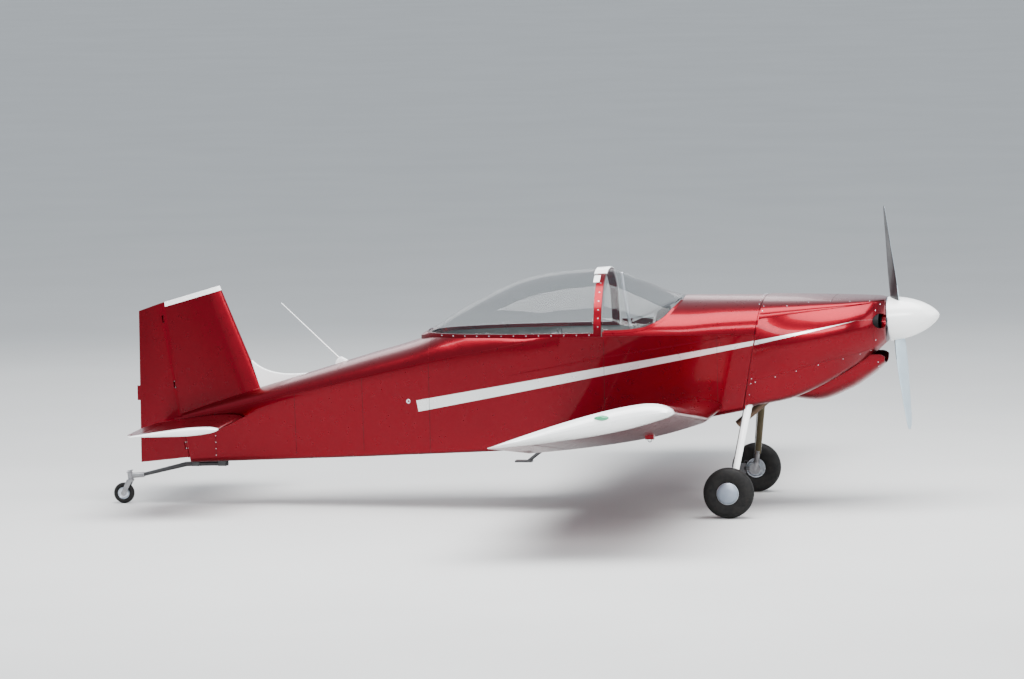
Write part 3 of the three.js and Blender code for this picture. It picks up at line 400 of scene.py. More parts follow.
def second_finish(piece: Object, finish: Material,
                  chosen: Callable[[Vector, Vector], bool]) -> None:
    """Gives some faces of a piece a second finish.

    Args:
        piece: the object.
        finish: the second material.
        chosen: tells from a face's centre and normal whether it takes it.
    """
    piece.data.materials.append(finish)
    for polygon in piece.data.polygons:
        if chosen(polygon.center, polygon.normal):
            polygon.material_index = 1


class Cut(Enum):
    """How one closed mesh works on another."""

    AWAY = "DIFFERENCE"
    COMMON = "INTERSECT"
    JOIN = "UNION"


def carved(base: Mesh, *tools: Mesh, how: Cut = Cut.AWAY) -> Mesh:
    """Cuts, joins or keeps the common part of closed meshes, and frees the ones it was given.

    Args:
        base: the mesh that is worked on.
        tools: the closed meshes it is worked with.
        how: what is kept.

    Returns:
        The resulting closed mesh.
    """
    collection = bpy.context.scene.collection
    holders = []
    for part in (base, *tools):
        data = bpy.data.meshes.new("blank")
        part.to_mesh(data)
        part.free()
        holder = bpy.data.objects.new("blank", data)
        collection.objects.link(holder)
        holders.append(holder)
    for tool in holders[1:]:
        work = holders[0].modifiers.new("cut", "BOOLEAN")
        work.operation = how.value
        work.solver = "MANIFOLD"
        work.object = tool
    view = bpy.context.evaluated_depsgraph_get()
    view.update()
    result = bmesh.new()
    result.from_object(holders[0], view)
    for holder in holders:
        data = holder.data
        bpy.data.objects.remove(holder)
        bpy.data.meshes.remove(data)
    bmesh.ops.remove_doubles(result, verts=result.verts[:], dist=1e-5)
    return result


def node_copy(name: str) -> Mesh:
    """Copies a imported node's mesh, with its doubles merged and its flat faces whole again.

    Args:
        name: the node.

    Returns:
        The copy, in place.
    """
    bm = bmesh.new()
    bm.from_mesh(frame["nodes"][name].data)
    bmesh.ops.remove_doubles(bm, verts=bm.verts[:], dist=1e-6)
    bmesh.ops.dissolve_limit(bm, angle_limit=math.radians(0.5), use_dissolve_boundaries=False,
                             verts=bm.verts[:], edges=bm.edges[:])
    return bm


@dataclass(frozen=True)
class Finish:
    """A surface: its colour with fine variation, and how it takes the light."""

    name: str
    colour: Point
    shade: Point
    metallic: float = 0.0
    roughness: Pair = (0.3, 0.4)
    coat: float = 0.0
    grain: float = 20.0
    bump: float = 0.0
    specular: float = 0.5
    coat_roughness: float = 0.03
    noise_middle: Pair = (0.3, 0.7)

    def nodes(self) -> tuple[Material, Tree, Node, Node]:
        """Starts the material and gives its tree, shader and placed coordinates.

        Returns:
            The material, its node tree, its shader and the mapping node on object coordinates.
        """
        material = bpy.data.materials.new(self.name)
        material.use_nodes = True
        tree = material.node_tree
        shader = tree.nodes["Principled BSDF"]
        place = tree.nodes.new("ShaderNodeTexCoord")
        mapping = tree.nodes.new("ShaderNodeMapping")
        tree.links.new(place.outputs["Object"], mapping.inputs["Vector"])
        return material, tree, shader, mapping

    def noise(self, tree: Tree, mapping: Node, scale: float,
              detail: float = 4.0) -> Socket:
        """Adds a noise pattern and gives its value.

        Args:
            tree: the material's nodes.
            mapping: the placed coordinates.
            scale: how fine the pattern is.
            detail: how many finer layers it has.

        Returns:
            The socket of its value.
        """
        noise = tree.nodes.new("ShaderNodeTexNoise")
        noise.inputs["Scale"].default_value = scale
        noise.inputs["Detail"].default_value = detail
        tree.links.new(mapping.outputs["Vector"], noise.inputs["Vector"])
        return noise.outputs["Fac"]

    def ranged(self, tree: Tree, value: Socket, low: float,
               high: float) -> Socket:
        """Spreads the middle of a noise pattern between two values.

        Args:
            tree: the material's nodes.
            value: the pattern's socket.
            low: what its low end becomes.
            high: what its high end becomes.

        Returns:
            The socket of the new value.
        """
        spread_out = tree.nodes.new("ShaderNodeMapRange")
        ends = {"From Min": self.noise_middle[0], "From Max": self.noise_middle[1],
                "To Min": low, "To Max": high}
        for key, value_at in ends.items():
            spread_out.inputs[key].default_value = value_at
        tree.links.new(value, spread_out.inputs["Value"])
        return spread_out.outputs["Result"]

    def mixed(self, tree: Tree, factor: Socket, first: object,
              second: object) -> Socket:
        """Mixes two colours, each given as three numbers or as a socket.

        Args:
            tree: the material's nodes.
            factor: the socket of the second colour's share.
            first: the first colour.
            second: the second colour.

        Returns:
            The socket of the mixed colour.
        """
        mix = tree.nodes.new("ShaderNodeMix")
        mix.data_type = "RGBA"
        tree.links.new(factor, mix.inputs["Factor"])
        for key, value in (("A", first), ("B", second)):
            socket = [s for s in mix.inputs if s.name == key and s.type == "RGBA"][0]
            if isinstance(value, Socket):
                tree.links.new(value, socket)
            else:
                socket.default_value = (*value, 1.0)
        return [s for s in mix.outputs if s.type == "RGBA"][0]

    def base(self, tree: Tree, mapping: Node) -> Socket:
        """Gives the colour that varies between the finish's two shades."""
        factor = self.ranged(tree, self.noise(tree, mapping, self.grain), 0.0, 1.0)
        return self.mixed(tree, factor, self.colour, self.shade)

    def roughen(self, tree: Tree, shader: Node, mapping: Node) -> None:
        """Sets the constants of the shader and lets its roughness and relief vary.

        Args:
            tree: the material's nodes.
            shader: its shader.
            mapping: the placed coordinates.
        """
        shader.inputs["Metallic"].default_value = self.metallic
        shader.inputs["Specular IOR Level"].default_value = self.specular
        shader.inputs["Coat Weight"].default_value = self.coat
        shader.inputs["Coat Roughness"].default_value = self.coat_roughness
        rough = self.ranged(tree, self.noise(tree, mapping, self.grain * 0.35, 2.0), *self.roughness)
        tree.links.new(rough, shader.inputs["Roughness"])
        if self.bump:
            relief = tree.nodes.new("ShaderNodeBump")
            relief.inputs["Strength"].default_value = self.bump
            relief.inputs["Distance"].default_value = 0.001
            tree.links.new(self.noise(tree, mapping, self.grain * 8, 5.0), relief.inputs["Height"])
            tree.links.new(relief.outputs["Normal"], shader.inputs["Normal"])

    def make(self) -> Material:
        """Builds the material.

        Returns:
            The finished material.
        """
        material, tree, shader, mapping = self.nodes()
        tree.links.new(self.base(tree, mapping), shader.inputs["Base Color"])
        self.roughen(tree, shader, mapping)
        return material


@dataclass(frozen=True)
class StripedPaint(Finish):
    """The red paint with the tapering white stripe along the fuselage side."""

    stripe: Point = (0.80, 0.81, 0.80)
    upper: tuple[Pair, ...] = ((-760, 776), (445, 993), (1653, 1201), (2391, 1338))
    lower: tuple[Pair, ...] = ((-760, 693), (445, 931), (1653, 1169), (2391, 1338))
    aft: tuple[Pair, Pair] = ((-720, 701), (-735, 781))
    soft: float = 0.0012

    def edge(self, tree: Tree, x: Socket,
             points: Outline) -> Socket:
        """Gives the height of one edge of the stripe at x.

        Args:
            tree: the material's nodes.
            x: the place along the fuselage, in metres.
            points: x and z of the edge's corners, in millimetres.

        Returns:
            The height in metres.
        """
        start, end = at(points[0][0], 0, 0).x, at(points[-1][0], 0, 0).x
        share = tree.nodes.new("ShaderNodeMapRange")
        share.inputs["From Min"].default_value = start
        share.inputs["From Max"].default_value = end
        tree.links.new(x, share.inputs["Value"])
        ramp = tree.nodes.new("ShaderNodeValToRGB")
        stops = ramp.color_ramp.elements
        while len(stops) < len(points):
            stops.new(0.5)
        for stop, (px, pz) in zip(stops, points):
            stop.position = (at(px, 0, 0).x - start) / (end - start)
            stop.color = (pz * MM,) * 3 + (1.0,)
        tree.links.new(share.outputs["Result"], ramp.inputs["Fac"])
        return ramp.outputs["Color"]

    def sum(self, tree: Tree, how: str, first: Socket,
            second: object) -> Socket:
        """Adds a sum of two values, the second a socket or a number.

        Args:
            tree: the material's nodes.
            how: the name of the sum.
            first: the first value's socket.
            second: the second value.

        Returns:
            The socket of the result.
        """
        node = tree.nodes.new("ShaderNodeMath")
        node.operation = how
        tree.links.new(first, node.inputs[0])
        if isinstance(second, Socket):
            tree.links.new(second, node.inputs[1])
        else:
            node.inputs[1].default_value = second
        return node.outputs[0]

    def inside(self, tree: Tree, depth: Socket) -> Socket:
        """Turns a depth past an edge into a mask with a crisp rim.

        Args:
            tree: the material's nodes.
            depth: the socket of the depth in metres.

        Returns:
            The socket of the mask.
        """
        mask = tree.nodes.new("ShaderNodeMapRange")
        mask.inputs["From Min"].default_value = -self.soft / 2
        mask.inputs["From Max"].default_value = self.soft / 2
        tree.links.new(depth, mask.inputs["Value"])
        return mask.outputs["Result"]

    def make(self) -> Material:
        """Builds the paint with its stripe.

        Returns:
            The finished material.
        """
        material, tree, shader, mapping = self.nodes()
        parts = tree.nodes.new("ShaderNodeSeparateXYZ")
        tree.links.new(mapping.outputs["Vector"], parts.inputs["Vector"])
        x, z = parts.outputs["X"], parts.outputs["Z"]
        under = self.inside(tree, self.sum(tree, "SUBTRACT", self.edge(tree, x, self.upper), z))
        over = self.inside(tree, self.sum(tree, "SUBTRACT", z, self.edge(tree, x, self.lower)))
        (low_x, low_z), (high_x, high_z) = self.aft
        lean = (high_x - low_x) / (high_z - low_z)
        back = self.sum(tree, "SUBTRACT", x, self.sum(tree, "MULTIPLY", z, lean))
        ahead = self.inside(tree, self.sum(tree, "SUBTRACT", back, at(low_x - lean * low_z, 0, 0).x))
        mask = self.sum(tree, "MULTIPLY", self.sum(tree, "MULTIPLY", under, over), ahead)
        colour = self.mixed(tree, mask, self.base(tree, mapping), self.stripe)
        tree.links.new(colour, shader.inputs["Base Color"])
        self.roughen(tree, shader, mapping)
        return material


@dataclass(frozen=True)
class Acrylic(Finish):
    """Clear sheet acrylic for the canopy and windscreen."""

    alpha: float = 0.13
    bending: float = 1.8

    def make(self) -> Material:
        """Builds the clear material.

        Returns:
            The finished material.
        """
        material, tree, shader, mapping = self.nodes()
        tree.links.new(self.base(tree, mapping), shader.inputs["Base Color"])
        self.roughen(tree, shader, mapping)
        shader.inputs["Alpha"].default_value = self.alpha
        shader.inputs["IOR"].default_value = self.bending
        return material


@dataclass(frozen=True)
class Woven(Finish):
    """Seat cloth with a fine weave and sheen."""

    pitch: float = 45.0
    waver: float = 0.6
    sheen: float = 0.35

    def make(self) -> Material:
        """Builds the cloth.

        Returns:
            The finished material.
        """
        material, tree, shader, mapping = self.nodes()
        weave = tree.nodes.new("ShaderNodeTexWave")
        weave.inputs["Scale"].default_value = self.pitch
        weave.inputs["Distortion"].default_value = self.waver
        tree.links.new(mapping.outputs["Vector"], weave.inputs["Vector"])
        colour = self.mixed(tree, weave.outputs["Fac"], self.base(tree, mapping), self.shade)
        tree.links.new(colour, shader.inputs["Base Color"])
        self.roughen(tree, shader, mapping)
        shader.inputs["Sheen Weight"].default_value = self.sheen
        return material


class Finishes:
    """Every finish of the aircraft, made once."""

    def __init__(self) -> None:
        """Makes the materials."""
        cherry = dict(colour=(0.150, 0.0011, 0.0068), shade=(0.168, 0.0015, 0.0080), metallic=0.96,
                      roughness=(0.27, 0.31), coat=0.2, grain=70.0)
        self.red = Finish("cherry_paint", **cherry).make()
        self.striped = StripedPaint("cherry_paint_striped", **cherry).make()
        self.white = Finish("white_paint", (0.90, 0.91, 0.90), (0.86, 0.87, 0.86),
                            roughness=(0.2, 0.28), coat=0.8, grain=5.0).make()
        self.black = Finish("satin_black", (0.018, 0.018, 0.02), (0.03, 0.03, 0.032),
                            roughness=(0.35, 0.5), coat=0.2, grain=25.0).make()
        self.rubber = Finish("tyre_rubber", (0.007, 0.007, 0.0075), (0.016, 0.015, 0.014),
                             roughness=(0.55, 0.75), grain=40.0, bump=0.25, specular=0.15).make()
        self.alloy = Finish("cast_alloy", (0.62, 0.66, 0.71), (0.52, 0.55, 0.6), metallic=0.85,
                            roughness=(0.25, 0.42), grain=30.0, bump=0.05).make()
        self.steel = Finish("dull_steel", (0.36, 0.36, 0.37), (0.25, 0.25, 0.26), metallic=0.95,
                            roughness=(0.28, 0.45), grain=35.0, bump=0.05).make()
        self.burnt = Finish("burnt_steel", (0.09, 0.062, 0.045), (0.16, 0.10, 0.065), metallic=0.8,
                            roughness=(0.4, 0.6), grain=14.0, bump=0.15).make()
        self.casting = Finish("grey_casting", (0.14, 0.145, 0.15), (0.09, 0.09, 0.095), metallic=0.6,
                              roughness=(0.5, 0.7), grain=30.0, bump=0.4).make()
        self.primer = Finish("grey_primer", (0.17, 0.18, 0.175), (0.13, 0.14, 0.135),
                             roughness=(0.55, 0.75), grain=18.0, bump=0.1).make()
        self.cloth = Woven("seat_cloth", (0.022, 0.024, 0.032), (0.05, 0.053, 0.065),
                           roughness=(0.8, 0.95), grain=60.0, bump=0.35).make()
        self.acrylic = Acrylic("clear_acrylic", (0.02, 0.03, 0.035), (0.03, 0.04, 0.045),
                               roughness=(0.02, 0.05), grain=3.0).make()
        self.red_lens = Finish("red_lens", (0.6, 0.02, 0.02), (0.5, 0.02, 0.02),
                               roughness=(0.08, 0.12), coat=1.0).make()
        self.green_lens = Finish("green_lens", (0.02, 0.35, 0.16), (0.02, 0.3, 0.14),
                                 roughness=(0.08, 0.12), coat=1.0).make()
        self.silver = Finish("pale_silver", (0.46, 0.58, 0.66), (0.56, 0.68, 0.76), metallic=0.35,
                             roughness=(0.3, 0.4), coat=0.3, grain=8.0).make()
        # Dark bronze for the inboard faces of the white leg fairings: painted shade on the side turned away
        # from the lights
        self.bronze = Finish("bronze_primer", (0.085, 0.068, 0.035), (0.11, 0.088, 0.05), metallic=0.35,
                             roughness=(0.4, 0.5), grain=14.0, specular=0.3).make()
        self.cap = Finish("hub_cap", (0.27, 0.31, 0.37), (0.23, 0.27, 0.33), metallic=0.6,
                          roughness=(0.38, 0.48), grain=20.0).make()
        # Near black for the dark skin joints and dial faces, and painted shade on the plugs that close the
        # cooling inlets
        self.dark = Finish("dark_duct", (0.006, 0.006, 0.0065), (0.011, 0.011, 0.012),
                           roughness=(0.7, 0.9), grain=20.0, specular=0.1).make()


@dataclass
class Polished:
    """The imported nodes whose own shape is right: each gets softened edges and its finish."""

    finishes: Finishes
    round_off: float = 0.0015

    def build(self) -> None:
        """Puts a copy with rounded edges in the place of each node that no piece stands for yet."""
        looks = {"red_paint": self.finishes.striped, "white_paint": self.finishes.white,
                 "black_paint": self.finishes.black, "tyre_rubber": self.finishes.rubber,
                 "alloy": self.finishes.alloy, "steel": self.finishes.steel,
                 "cast_metal": self.finishes.casting, "primer": self.finishes.primer,
                 "cloth": self.finishes.cloth, "clear_glass": self.finishes.acrylic}
        bodies = frame["record"]["behaviour"]["bodies"]
        owners = {node: body for body, nodes in bodies.items() for node in nodes}
        for part in frame["record"]["subparts"]:
            name, slot = part["node"], part["material_slot"]
            if name not in REPLACED:
                Piece(f"{name}_skin", node_copy(name), looks[slot], owners[name], slot, (name,),
                      bevel=self.round_off).build()


def rail(x: float) -> float:
    """Gives the height of the canopy rail at x, in millimetres."""
    return 1227.6 + 0.0151 * x


def plate(outline: Outline, low: float = -WIDE, high: float = WIDE) -> Mesh:
    """Makes a flat plate drawn in x and z, between two values of y.

    Args:
        outline: the corners, in order.
        low: its right-hand face.
        high: its left-hand face.

    Returns:
        The closed plate.
    """
    return closed_mesh([[at(x, y, z) for x, z in outline] for y in (low, high)])


def inset(outline: Outline, wall: float) -> list[Pair]:
    """Moves a closed outline of y and z inwards by a wall's thickness.

    Args:
        outline: the points, in order.
        wall: how far they move.

    Returns:
        The moved points.
    """
    count = len(outline)
    area = sum(p[0] * q[1] - q[0] * p[1] for p, q in zip(outline, [*outline[1:], outline[0]]))
    side = 1.0 if area > 0 else -1.0
    moved = []
    for i, (y, z) in enumerate(outline):
        before, after = outline[i - 1], outline[(i + 1) % count]
        u = Vector((y - before[0], z - before[1])).normalized()
        v = Vector((after[0] - y, after[1] - z)).normalized()
        normal = Vector((-(u.y + v.y), u.x + v.x)).normalized()
        stretch = min(1 / max(normal.dot(Vector((-u.y, u.x))), 0.4), 2.0)
        moved.append((y + side * normal.x * wall * stretch, z + side * normal.y * wall * stretch))
    return moved


def ring_body(rings: Sequence[tuple[float, Outline]]) -> Mesh:
    """Makes a closed body through outlines of y and z, each at its own x."""
    return closed_mesh([[at(x, y, z) for y, z in outline] for x, outline in rings])


def both_sides(half: Outline, top: Pair) -> list[Pair]:
    """Completes half an outline, from the bottom up, with its other half and its top point."""
    return [*((-y, z) for y, z in half), top, *reversed(half)]


@dataclass
class Fuselage:
    """The cabin sides, deck, belly and tail cone, from one set of frames."""

    finishes: Finishes
    frames: tuple[Row, ...] = (
        (-2600, 290, 34, 40, 603, 616, 2.0), (-2245, 311, 105, 130, 672, 742, 2.0),
        (-1639, 342, 205, 252, 818, 926, 2.0), (-1133, 368, 290, 338, 937, 1079, 2.1),
        (-760, 390, 352, 392, 1022, 1190, 2.2), (-600, 399, 378, 410, 1057, 1256, 2.3),
        (-450, 407, 398, 425, 1086, 1318, 2.1), (-300, 415, 415, 440, 1115, 1372, 2.0),
        (-119, 426, 435, 458, 1151, 1375, 2.0), (86, 438, 448, 468, 1191, 1330, 2.0),
        (220, 447, 452, 471, 1217, 1350, 2.0), (300, 462, 454, 472, 1232, 1400, 2.0),
        (622, 524, 458, 474, 1237, 1489, 2.0), (1139, 623, 450, 470, 1245, 1491, 2.0),
        (1420, 677, 440, 462, 1249, 1490, 2.25), (1800, 750, 423, 448, 1254, 1489, 2.5))
    wall: float = 20.0
    cabin_end: float = -639.7
    firewall_foot: Pair = (1622.0, 800.0)
    firewall_lean: float = 0.166
    post_foot: Pair = (-2464.0, 300.0)
    post_top: Pair = (-2649.0, 1444.0)
    post_clear: float = 22.0
    step: float = 45.0
    sill_top: float = 0.7
    sill_half: float = 0.42

    def outline(self, x: float) -> list[Pair]:
        """Gives the fuselage's outline at x.

        Args:
            x: the place along the fuselage.

        Returns:
            Points of y and z, from the bottom right, over the top, to the bottom left.
        """
        bottom, low_half, half, longeron, top, square = (flowing(self.frames, c, x) for c in range(1, 7))
        corner = min(35.0, low_half * 0.5)
        points = [((low_half - corner) * share, bottom) for share in (0.35, 0.7)]
        for i in range(7):
            turn = i / 6 * math.pi / 2
            points.append((low_half - corner + corner * math.sin(turn),
                           bottom + corner * (1 - math.cos(turn))))
        for share in spread(0, 1, 8)[1:-1]:
            points.append((low_half + (half - low_half) * share,
                           bottom + corner + (longeron - bottom - corner) * share))
        for i in range(18):
            turn = i / 18 * math.pi / 2
            points.append((half * math.cos(turn) ** (2 / square),
                           longeron + (top - longeron) * math.sin(turn) ** (2 / square)))
        return both_sides(points, (0.0, top))

    def body(self, start: float, end: float, wall: float = 0.0) -> Mesh:
        """Makes the closed body between two places, set in by a wall.

        Args:
            start: x of its rear end.
            end: x of its front end.
            wall: how far it is set in.

        Returns:
            The closed body.
        """
        count = max(2, round((end - start) / self.step))
        return ring_body([(x, inset(self.outline(x), wall) if wall else self.outline(x))
                          for x in spread(start, end, count)])

    def firewall(self, z: float) -> float:
        """Gives the x of the firewall at a height."""
        return self.firewall_foot[0] + self.firewall_lean * (z - self.firewall_foot[1])

    def post(self, z: float) -> float:
        """Gives the x of the rudder's hinge line at a height."""
        return on_line(z, self.post_foot[::-1], self.post_top[::-1])

    def bottom(self, x: float) -> float:
        """Gives the height of the fuselage's underside at x."""
        return flowing(self.frames, 1, x)

    def longeron(self, x: float) -> float:
        """Gives the height of the fuselage's upper corner at x."""
        return flowing(self.frames, 4, x)

    def belly_line(self, x: float) -> float:
        """Gives the height at which the belly sheet meets the sides."""
        return self.bottom(x) + self.wall + 2

    def shell(self, start: float) -> Mesh:
        """Makes the hollow cabin from a place to the firewall."""
        return carved(self.body(start, 1800), self.body(start - 40, 1840, self.wall))

    def deck(self, screen: Mesh) -> Mesh:
        """Makes the deck ahead of the cabin, cut where the windscreen stands.

        Args:
            screen: the windscreen's whole bubble.

        Returns:
            The deck.
        """
        low, high = rail(612) + 0.3, 2400.0
        zone = plate([(612, low), (self.firewall(1230) - 10.3, rail(1700) + 0.3),
                      (self.firewall(high) - 10.3, high), (612, high)])
        return carved(carved(self.shell(600), zone, how=Cut.COMMON), screen)

    def side(self, side: Side) -> Mesh:
        """Makes one side of the cabin, from the belly to the rail.

        Args:
            side: which side of the aircraft.

        Returns:
            The closed sheet.
        """
        stations = spread(self.cabin_end - 0.3, 1650, 24)
        foot = [(x, self.belly_line(x)) for x in stations if x < self.firewall(700) - 10]
        zone = plate([(self.cabin_end, rail(self.cabin_end)), (self.firewall(1250) - 10.3, rail(1690)),
                      (self.firewall(700) - 10.3, self.belly_line(1595)), *reversed(foot)],
                     *((1, WIDE) if side is Side.LEFT else (-WIDE, -1)))
        return carved(self.shell(self.cabin_end), zone, how=Cut.COMMON)

    def belly(self, start: float, end: float) -> Mesh:
        """Makes the belly sheet between two places.

        Args:
            start: x of its rear end.
            end: x of its front end.

        Returns:
            The closed sheet.
        """
        stations = spread(start, end, 12)
        zone = plate([*((x, self.belly_line(x) - 200) for x in stations),
                      *reversed([(x, self.belly_line(x) - 0.3) for x in stations])])
        return carved(self.shell(max(self.cabin_end, start - 30)), zone, how=Cut.COMMON)

    def tail(self) -> Mesh:
        """Makes the tail cone with its square stern and the lowest hinge eye.

        Returns:
            The closed tail cone.
        """
        zone = plate([(self.post(0) + self.post_clear, 0), (self.post(1700) + self.post_clear, 1700),
                      (-640, 1700), (-640, 0)])
        cone = carved(self.body(-2600, -600), zone, how=Cut.COMMON)
        x = self.post(420)
        return merged([cone, box_mesh((x - 11, -8, 402), (x + self.post_clear + 8, 8, 438))])

    def build(self, screen: Mesh) -> None:
        """Builds the fuselage's skins.

        Args:
            screen: the windscreen's whole bubble, which the deck makes room for.
        """
        paint = self.finishes.striped
        Piece("forward_deck_skin", self.deck(screen), paint, replaces=("forward_deck",), bevel=0.0012).build()
        for side in Side:
            shell = Piece(f"cabin_side_{side.word}", self.side(side), paint,
                          replaces=(f"cockpit_side_{side.word}",), bevel=0.0012).build()
            second_finish(shell, self.finishes.primer, lambda centre, normal, s=side.value: (
                normal.y * s < -0.25
                or (normal.z > 0.9 and centre.z < self.sill_top and abs(centre.y) < self.sill_half)))
        Piece("belly_front_skin", self.belly(1300, 1594), paint, replaces=("belly_front",)).build()
        Piece("belly_rear_skin", self.belly(-639, 400), paint, replaces=("belly_rear",)).build()
        Piece("tail_cone_skin", self.tail(), paint, replaces=("tail_cone",), bevel=0.001).build()
        foot, head = self.firewall(600), self.firewall(1600)
        zone = plate([(foot - 10, 600), (foot, 600), (head, 1600), (head - 10, 1600)])
        sheet = Piece("firewall_sheet", carved(self.body(1500, 1800), zone, how=Cut.COMMON),
                      self.finishes.red, slot="primer", replaces=("firewall",)).build()
        second_finish(sheet, self.finishes.primer, lambda centre, normal: abs(normal.x) > 0.8)


@dataclass
class Cowling:
    """The engine's cowling: nose bowl, top, two cheeks and the lower half."""

    finishes: Finishes
    fuselage: Fuselage
    frames: tuple[Row, ...] = (
        (1590, 1491, 452, 1340, 470, 1120, 458, 899, 430, 722),
        (1700, 1491, 446, 1354, 472, 1150, 452, 931, 420, 744),
        (1914, 1489, 415, 1383, 476, 1190, 428, 986, 370, 784),
        (2122, 1486, 372, 1408, 462, 1225, 388, 1041, 300, 866),
        (2310, 1482, 320, 1427, 420, 1262, 332, 1084, 228, 968),
        (2440, 1479, 262, 1441, 350, 1285, 268, 1116, 175, 1050),
        (2520, 1476, 205, 1450, 268, 1300, 212, 1145, 140, 1108),
        (2574, 1469, 120, 1450, 176, 1312, 140, 1190, 100, 1158))
    wall: float = 12.0
    nose_wall: float = 28.0
    nose_seam: float = 2500.0
    hub: Point = (2640.0, 0.0, 1322.0)
    thrust_tilt: float = 4.5
    inlet: tuple[float, float, float, float] = (222.0, 1322.0, 74.0, 52.0)
    shaft_hole: float = 78.0
    face_cut: float = 400.0

    def on_thrust(self, distance: float) -> Vector:
        """Gives the place on the thrust line that far ahead of the hub.

        Args:
            distance: how far ahead, in millimetres.

        Returns:
            The place in metres.
        """
        turn = math.radians(self.thrust_tilt)
        x, y, z = self.hub
        return at(x + distance * math.cos(turn), y, z + distance * math.sin(turn))

    def outline(self, x: float) -> list[Pair]:
        """Gives the cowling's outline at x, from the bottom right over the top to the bottom left.

        Args:
            x: the place along the cowling.

        Returns:
            Points of y and z.
        """
        top, seam_y, seam_z, wide_y, wide_z, low_y, low_z, foot_y, foot = (
            flowing(self.frames, c, x) for c in range(1, 10))
        points = [(foot_y * share, foot) for share in (0.3, 0.55)]
        for t in spread(0, 1, 5):
            start, bend = (foot_y * 0.74, foot), (foot_y * 1.02, foot)
            end = (foot_y + (low_y - foot_y) * 0.3, foot + (low_z - foot) * 0.3)
            points.append(tuple(quadratic(t, *ends) for ends in zip(start, bend, end)))
        corner_y, corner_z = points[-1]
        for t in spread(0, 1, 3)[1:-1]:
            points.append((corner_y + (low_y - corner_y) * t, corner_z + (low_z - corner_z) * t))
        for t in spread(0, 1, 16):
            first, middle, last = (1 - t) * (1 - 2 * t), 4 * t * (1 - t), t * (2 * t - 1)
            points.append((low_y * first + wide_y * middle + seam_y * last,
                           low_z * first + wide_z * middle + seam_z * last))
        for i in range(1, 15):
            turn = i / 15 * math.pi / 2
            points.append((seam_y * math.cos(turn) ** 0.8, seam_z + (top - seam_z) * math.sin(turn) ** 0.8))
        return both_sides(points, (0.0, top))

    def shell(self) -> Mesh:
        """Makes the whole hollow cowling with its inlets, outlet and shaft hole.

        Returns:
            The closed shell.
        """
        nose = self.frames[-1][0]
        stations = [*spread(1590, 2440, 26), *spread(2440, nose, 12)[1:]]
        outer = ring_body([(x, self.outline(x)) for x in stations])
        inner = ring_body([(x, inset(self.outline(max(x, 1590)), self.wall))
                           for x in [1560, *spread(1600, nose - self.nose_wall, 26)]])
        y, z, wide, tall = self.inlet
        inlets = []
        for side in Side:
            tool = rod_mesh(at(2390, side.value * y, z), at(2790, side.value * y, z), 1.0, sides=48)
            for vert in tool.verts:
                vert.co.y = side.value * y * MM + (vert.co.y - side.value * y * MM) * wide * MM
                vert.co.z = z * MM + (vert.co.z - z * MM) * tall * MM
            inlets.append(tool)
        hole = rod_mesh(self.on_thrust(-260), self.on_thrust(60), self.shaft_hole * MM, sides=48)
        face = rod_mesh(self.on_thrust(-62), self.on_thrust(200), self.face_cut * MM, sides=32)
        outlet = box_mesh((1500, -300, 600), (1790, 300, 812))
        shell = carved(outer, inner)
        for tool in (*inlets, hole, face, outlet):
            shell = carved(shell, tool)
        wall = self.fuselage.firewall
        ahead = plate([(wall(0) + 0.3, 0), (wall(2500) + 0.3, 2500), (4000, 2500), (4000, 0)])
        return carved(shell, ahead, how=Cut.COMMON)

    def seam(self, column: int, x: float) -> float:
        """Gives the height of a seam at x."""
        return flowing(self.frames, column, min(max(x, 1590), 2574))

    def build(self) -> None:
        """Builds the cowling's pieces."""
        paint = self.finishes.striped
        whole = self.shell()
        stations = [1500, *spread(1590, 2500, 20), 2700]
        high = [(x, self.seam(3, x)) for x in stations]
        low = [(x, self.seam(7, x)) for x in stations]
        aft = self.nose_seam - 0.8
        zones = {
            "cowl_top": (plate([*((x, z + 0.8) for x, z in high if x < aft), (aft, self.seam(3, aft) + 0.8),
                                (aft, 2400), (1500, 2400)]), ("cowl_top",)),
            "cowl_lower": (plate([(1500, 500), (aft, 500), (aft, self.seam(7, aft)),
                                  *reversed([(x, z) for x, z in low if x < aft])]),
                           ("cowl_lower",)),
            "nose_bowl": (box_mesh((self.nose_seam, -WIDE, 0), (2800, WIDE, 2400)), ("nose_bowl",)),
        }
        cheek = [*((x, z + 0.8) for x, z in low if x < aft), (aft, self.seam(7, aft) + 0.8),
                 (aft, self.seam(3, aft)), *reversed([(x, z) for x, z in high if x < aft])]
        zones["cheek_left"] = (plate(cheek, 1, WIDE), ("cowl_cheek_left",))
        zones["cheek_right"] = (plate(cheek, -WIDE, -1), ("cowl_cheek_right",))
        for name, (zone, nodes) in zones.items():
            Piece(f"{name}_skin", carved(whole.copy(), zone, how=Cut.COMMON), paint, replaces=nodes,
                  bevel=0.0012).build()
        whole.free()


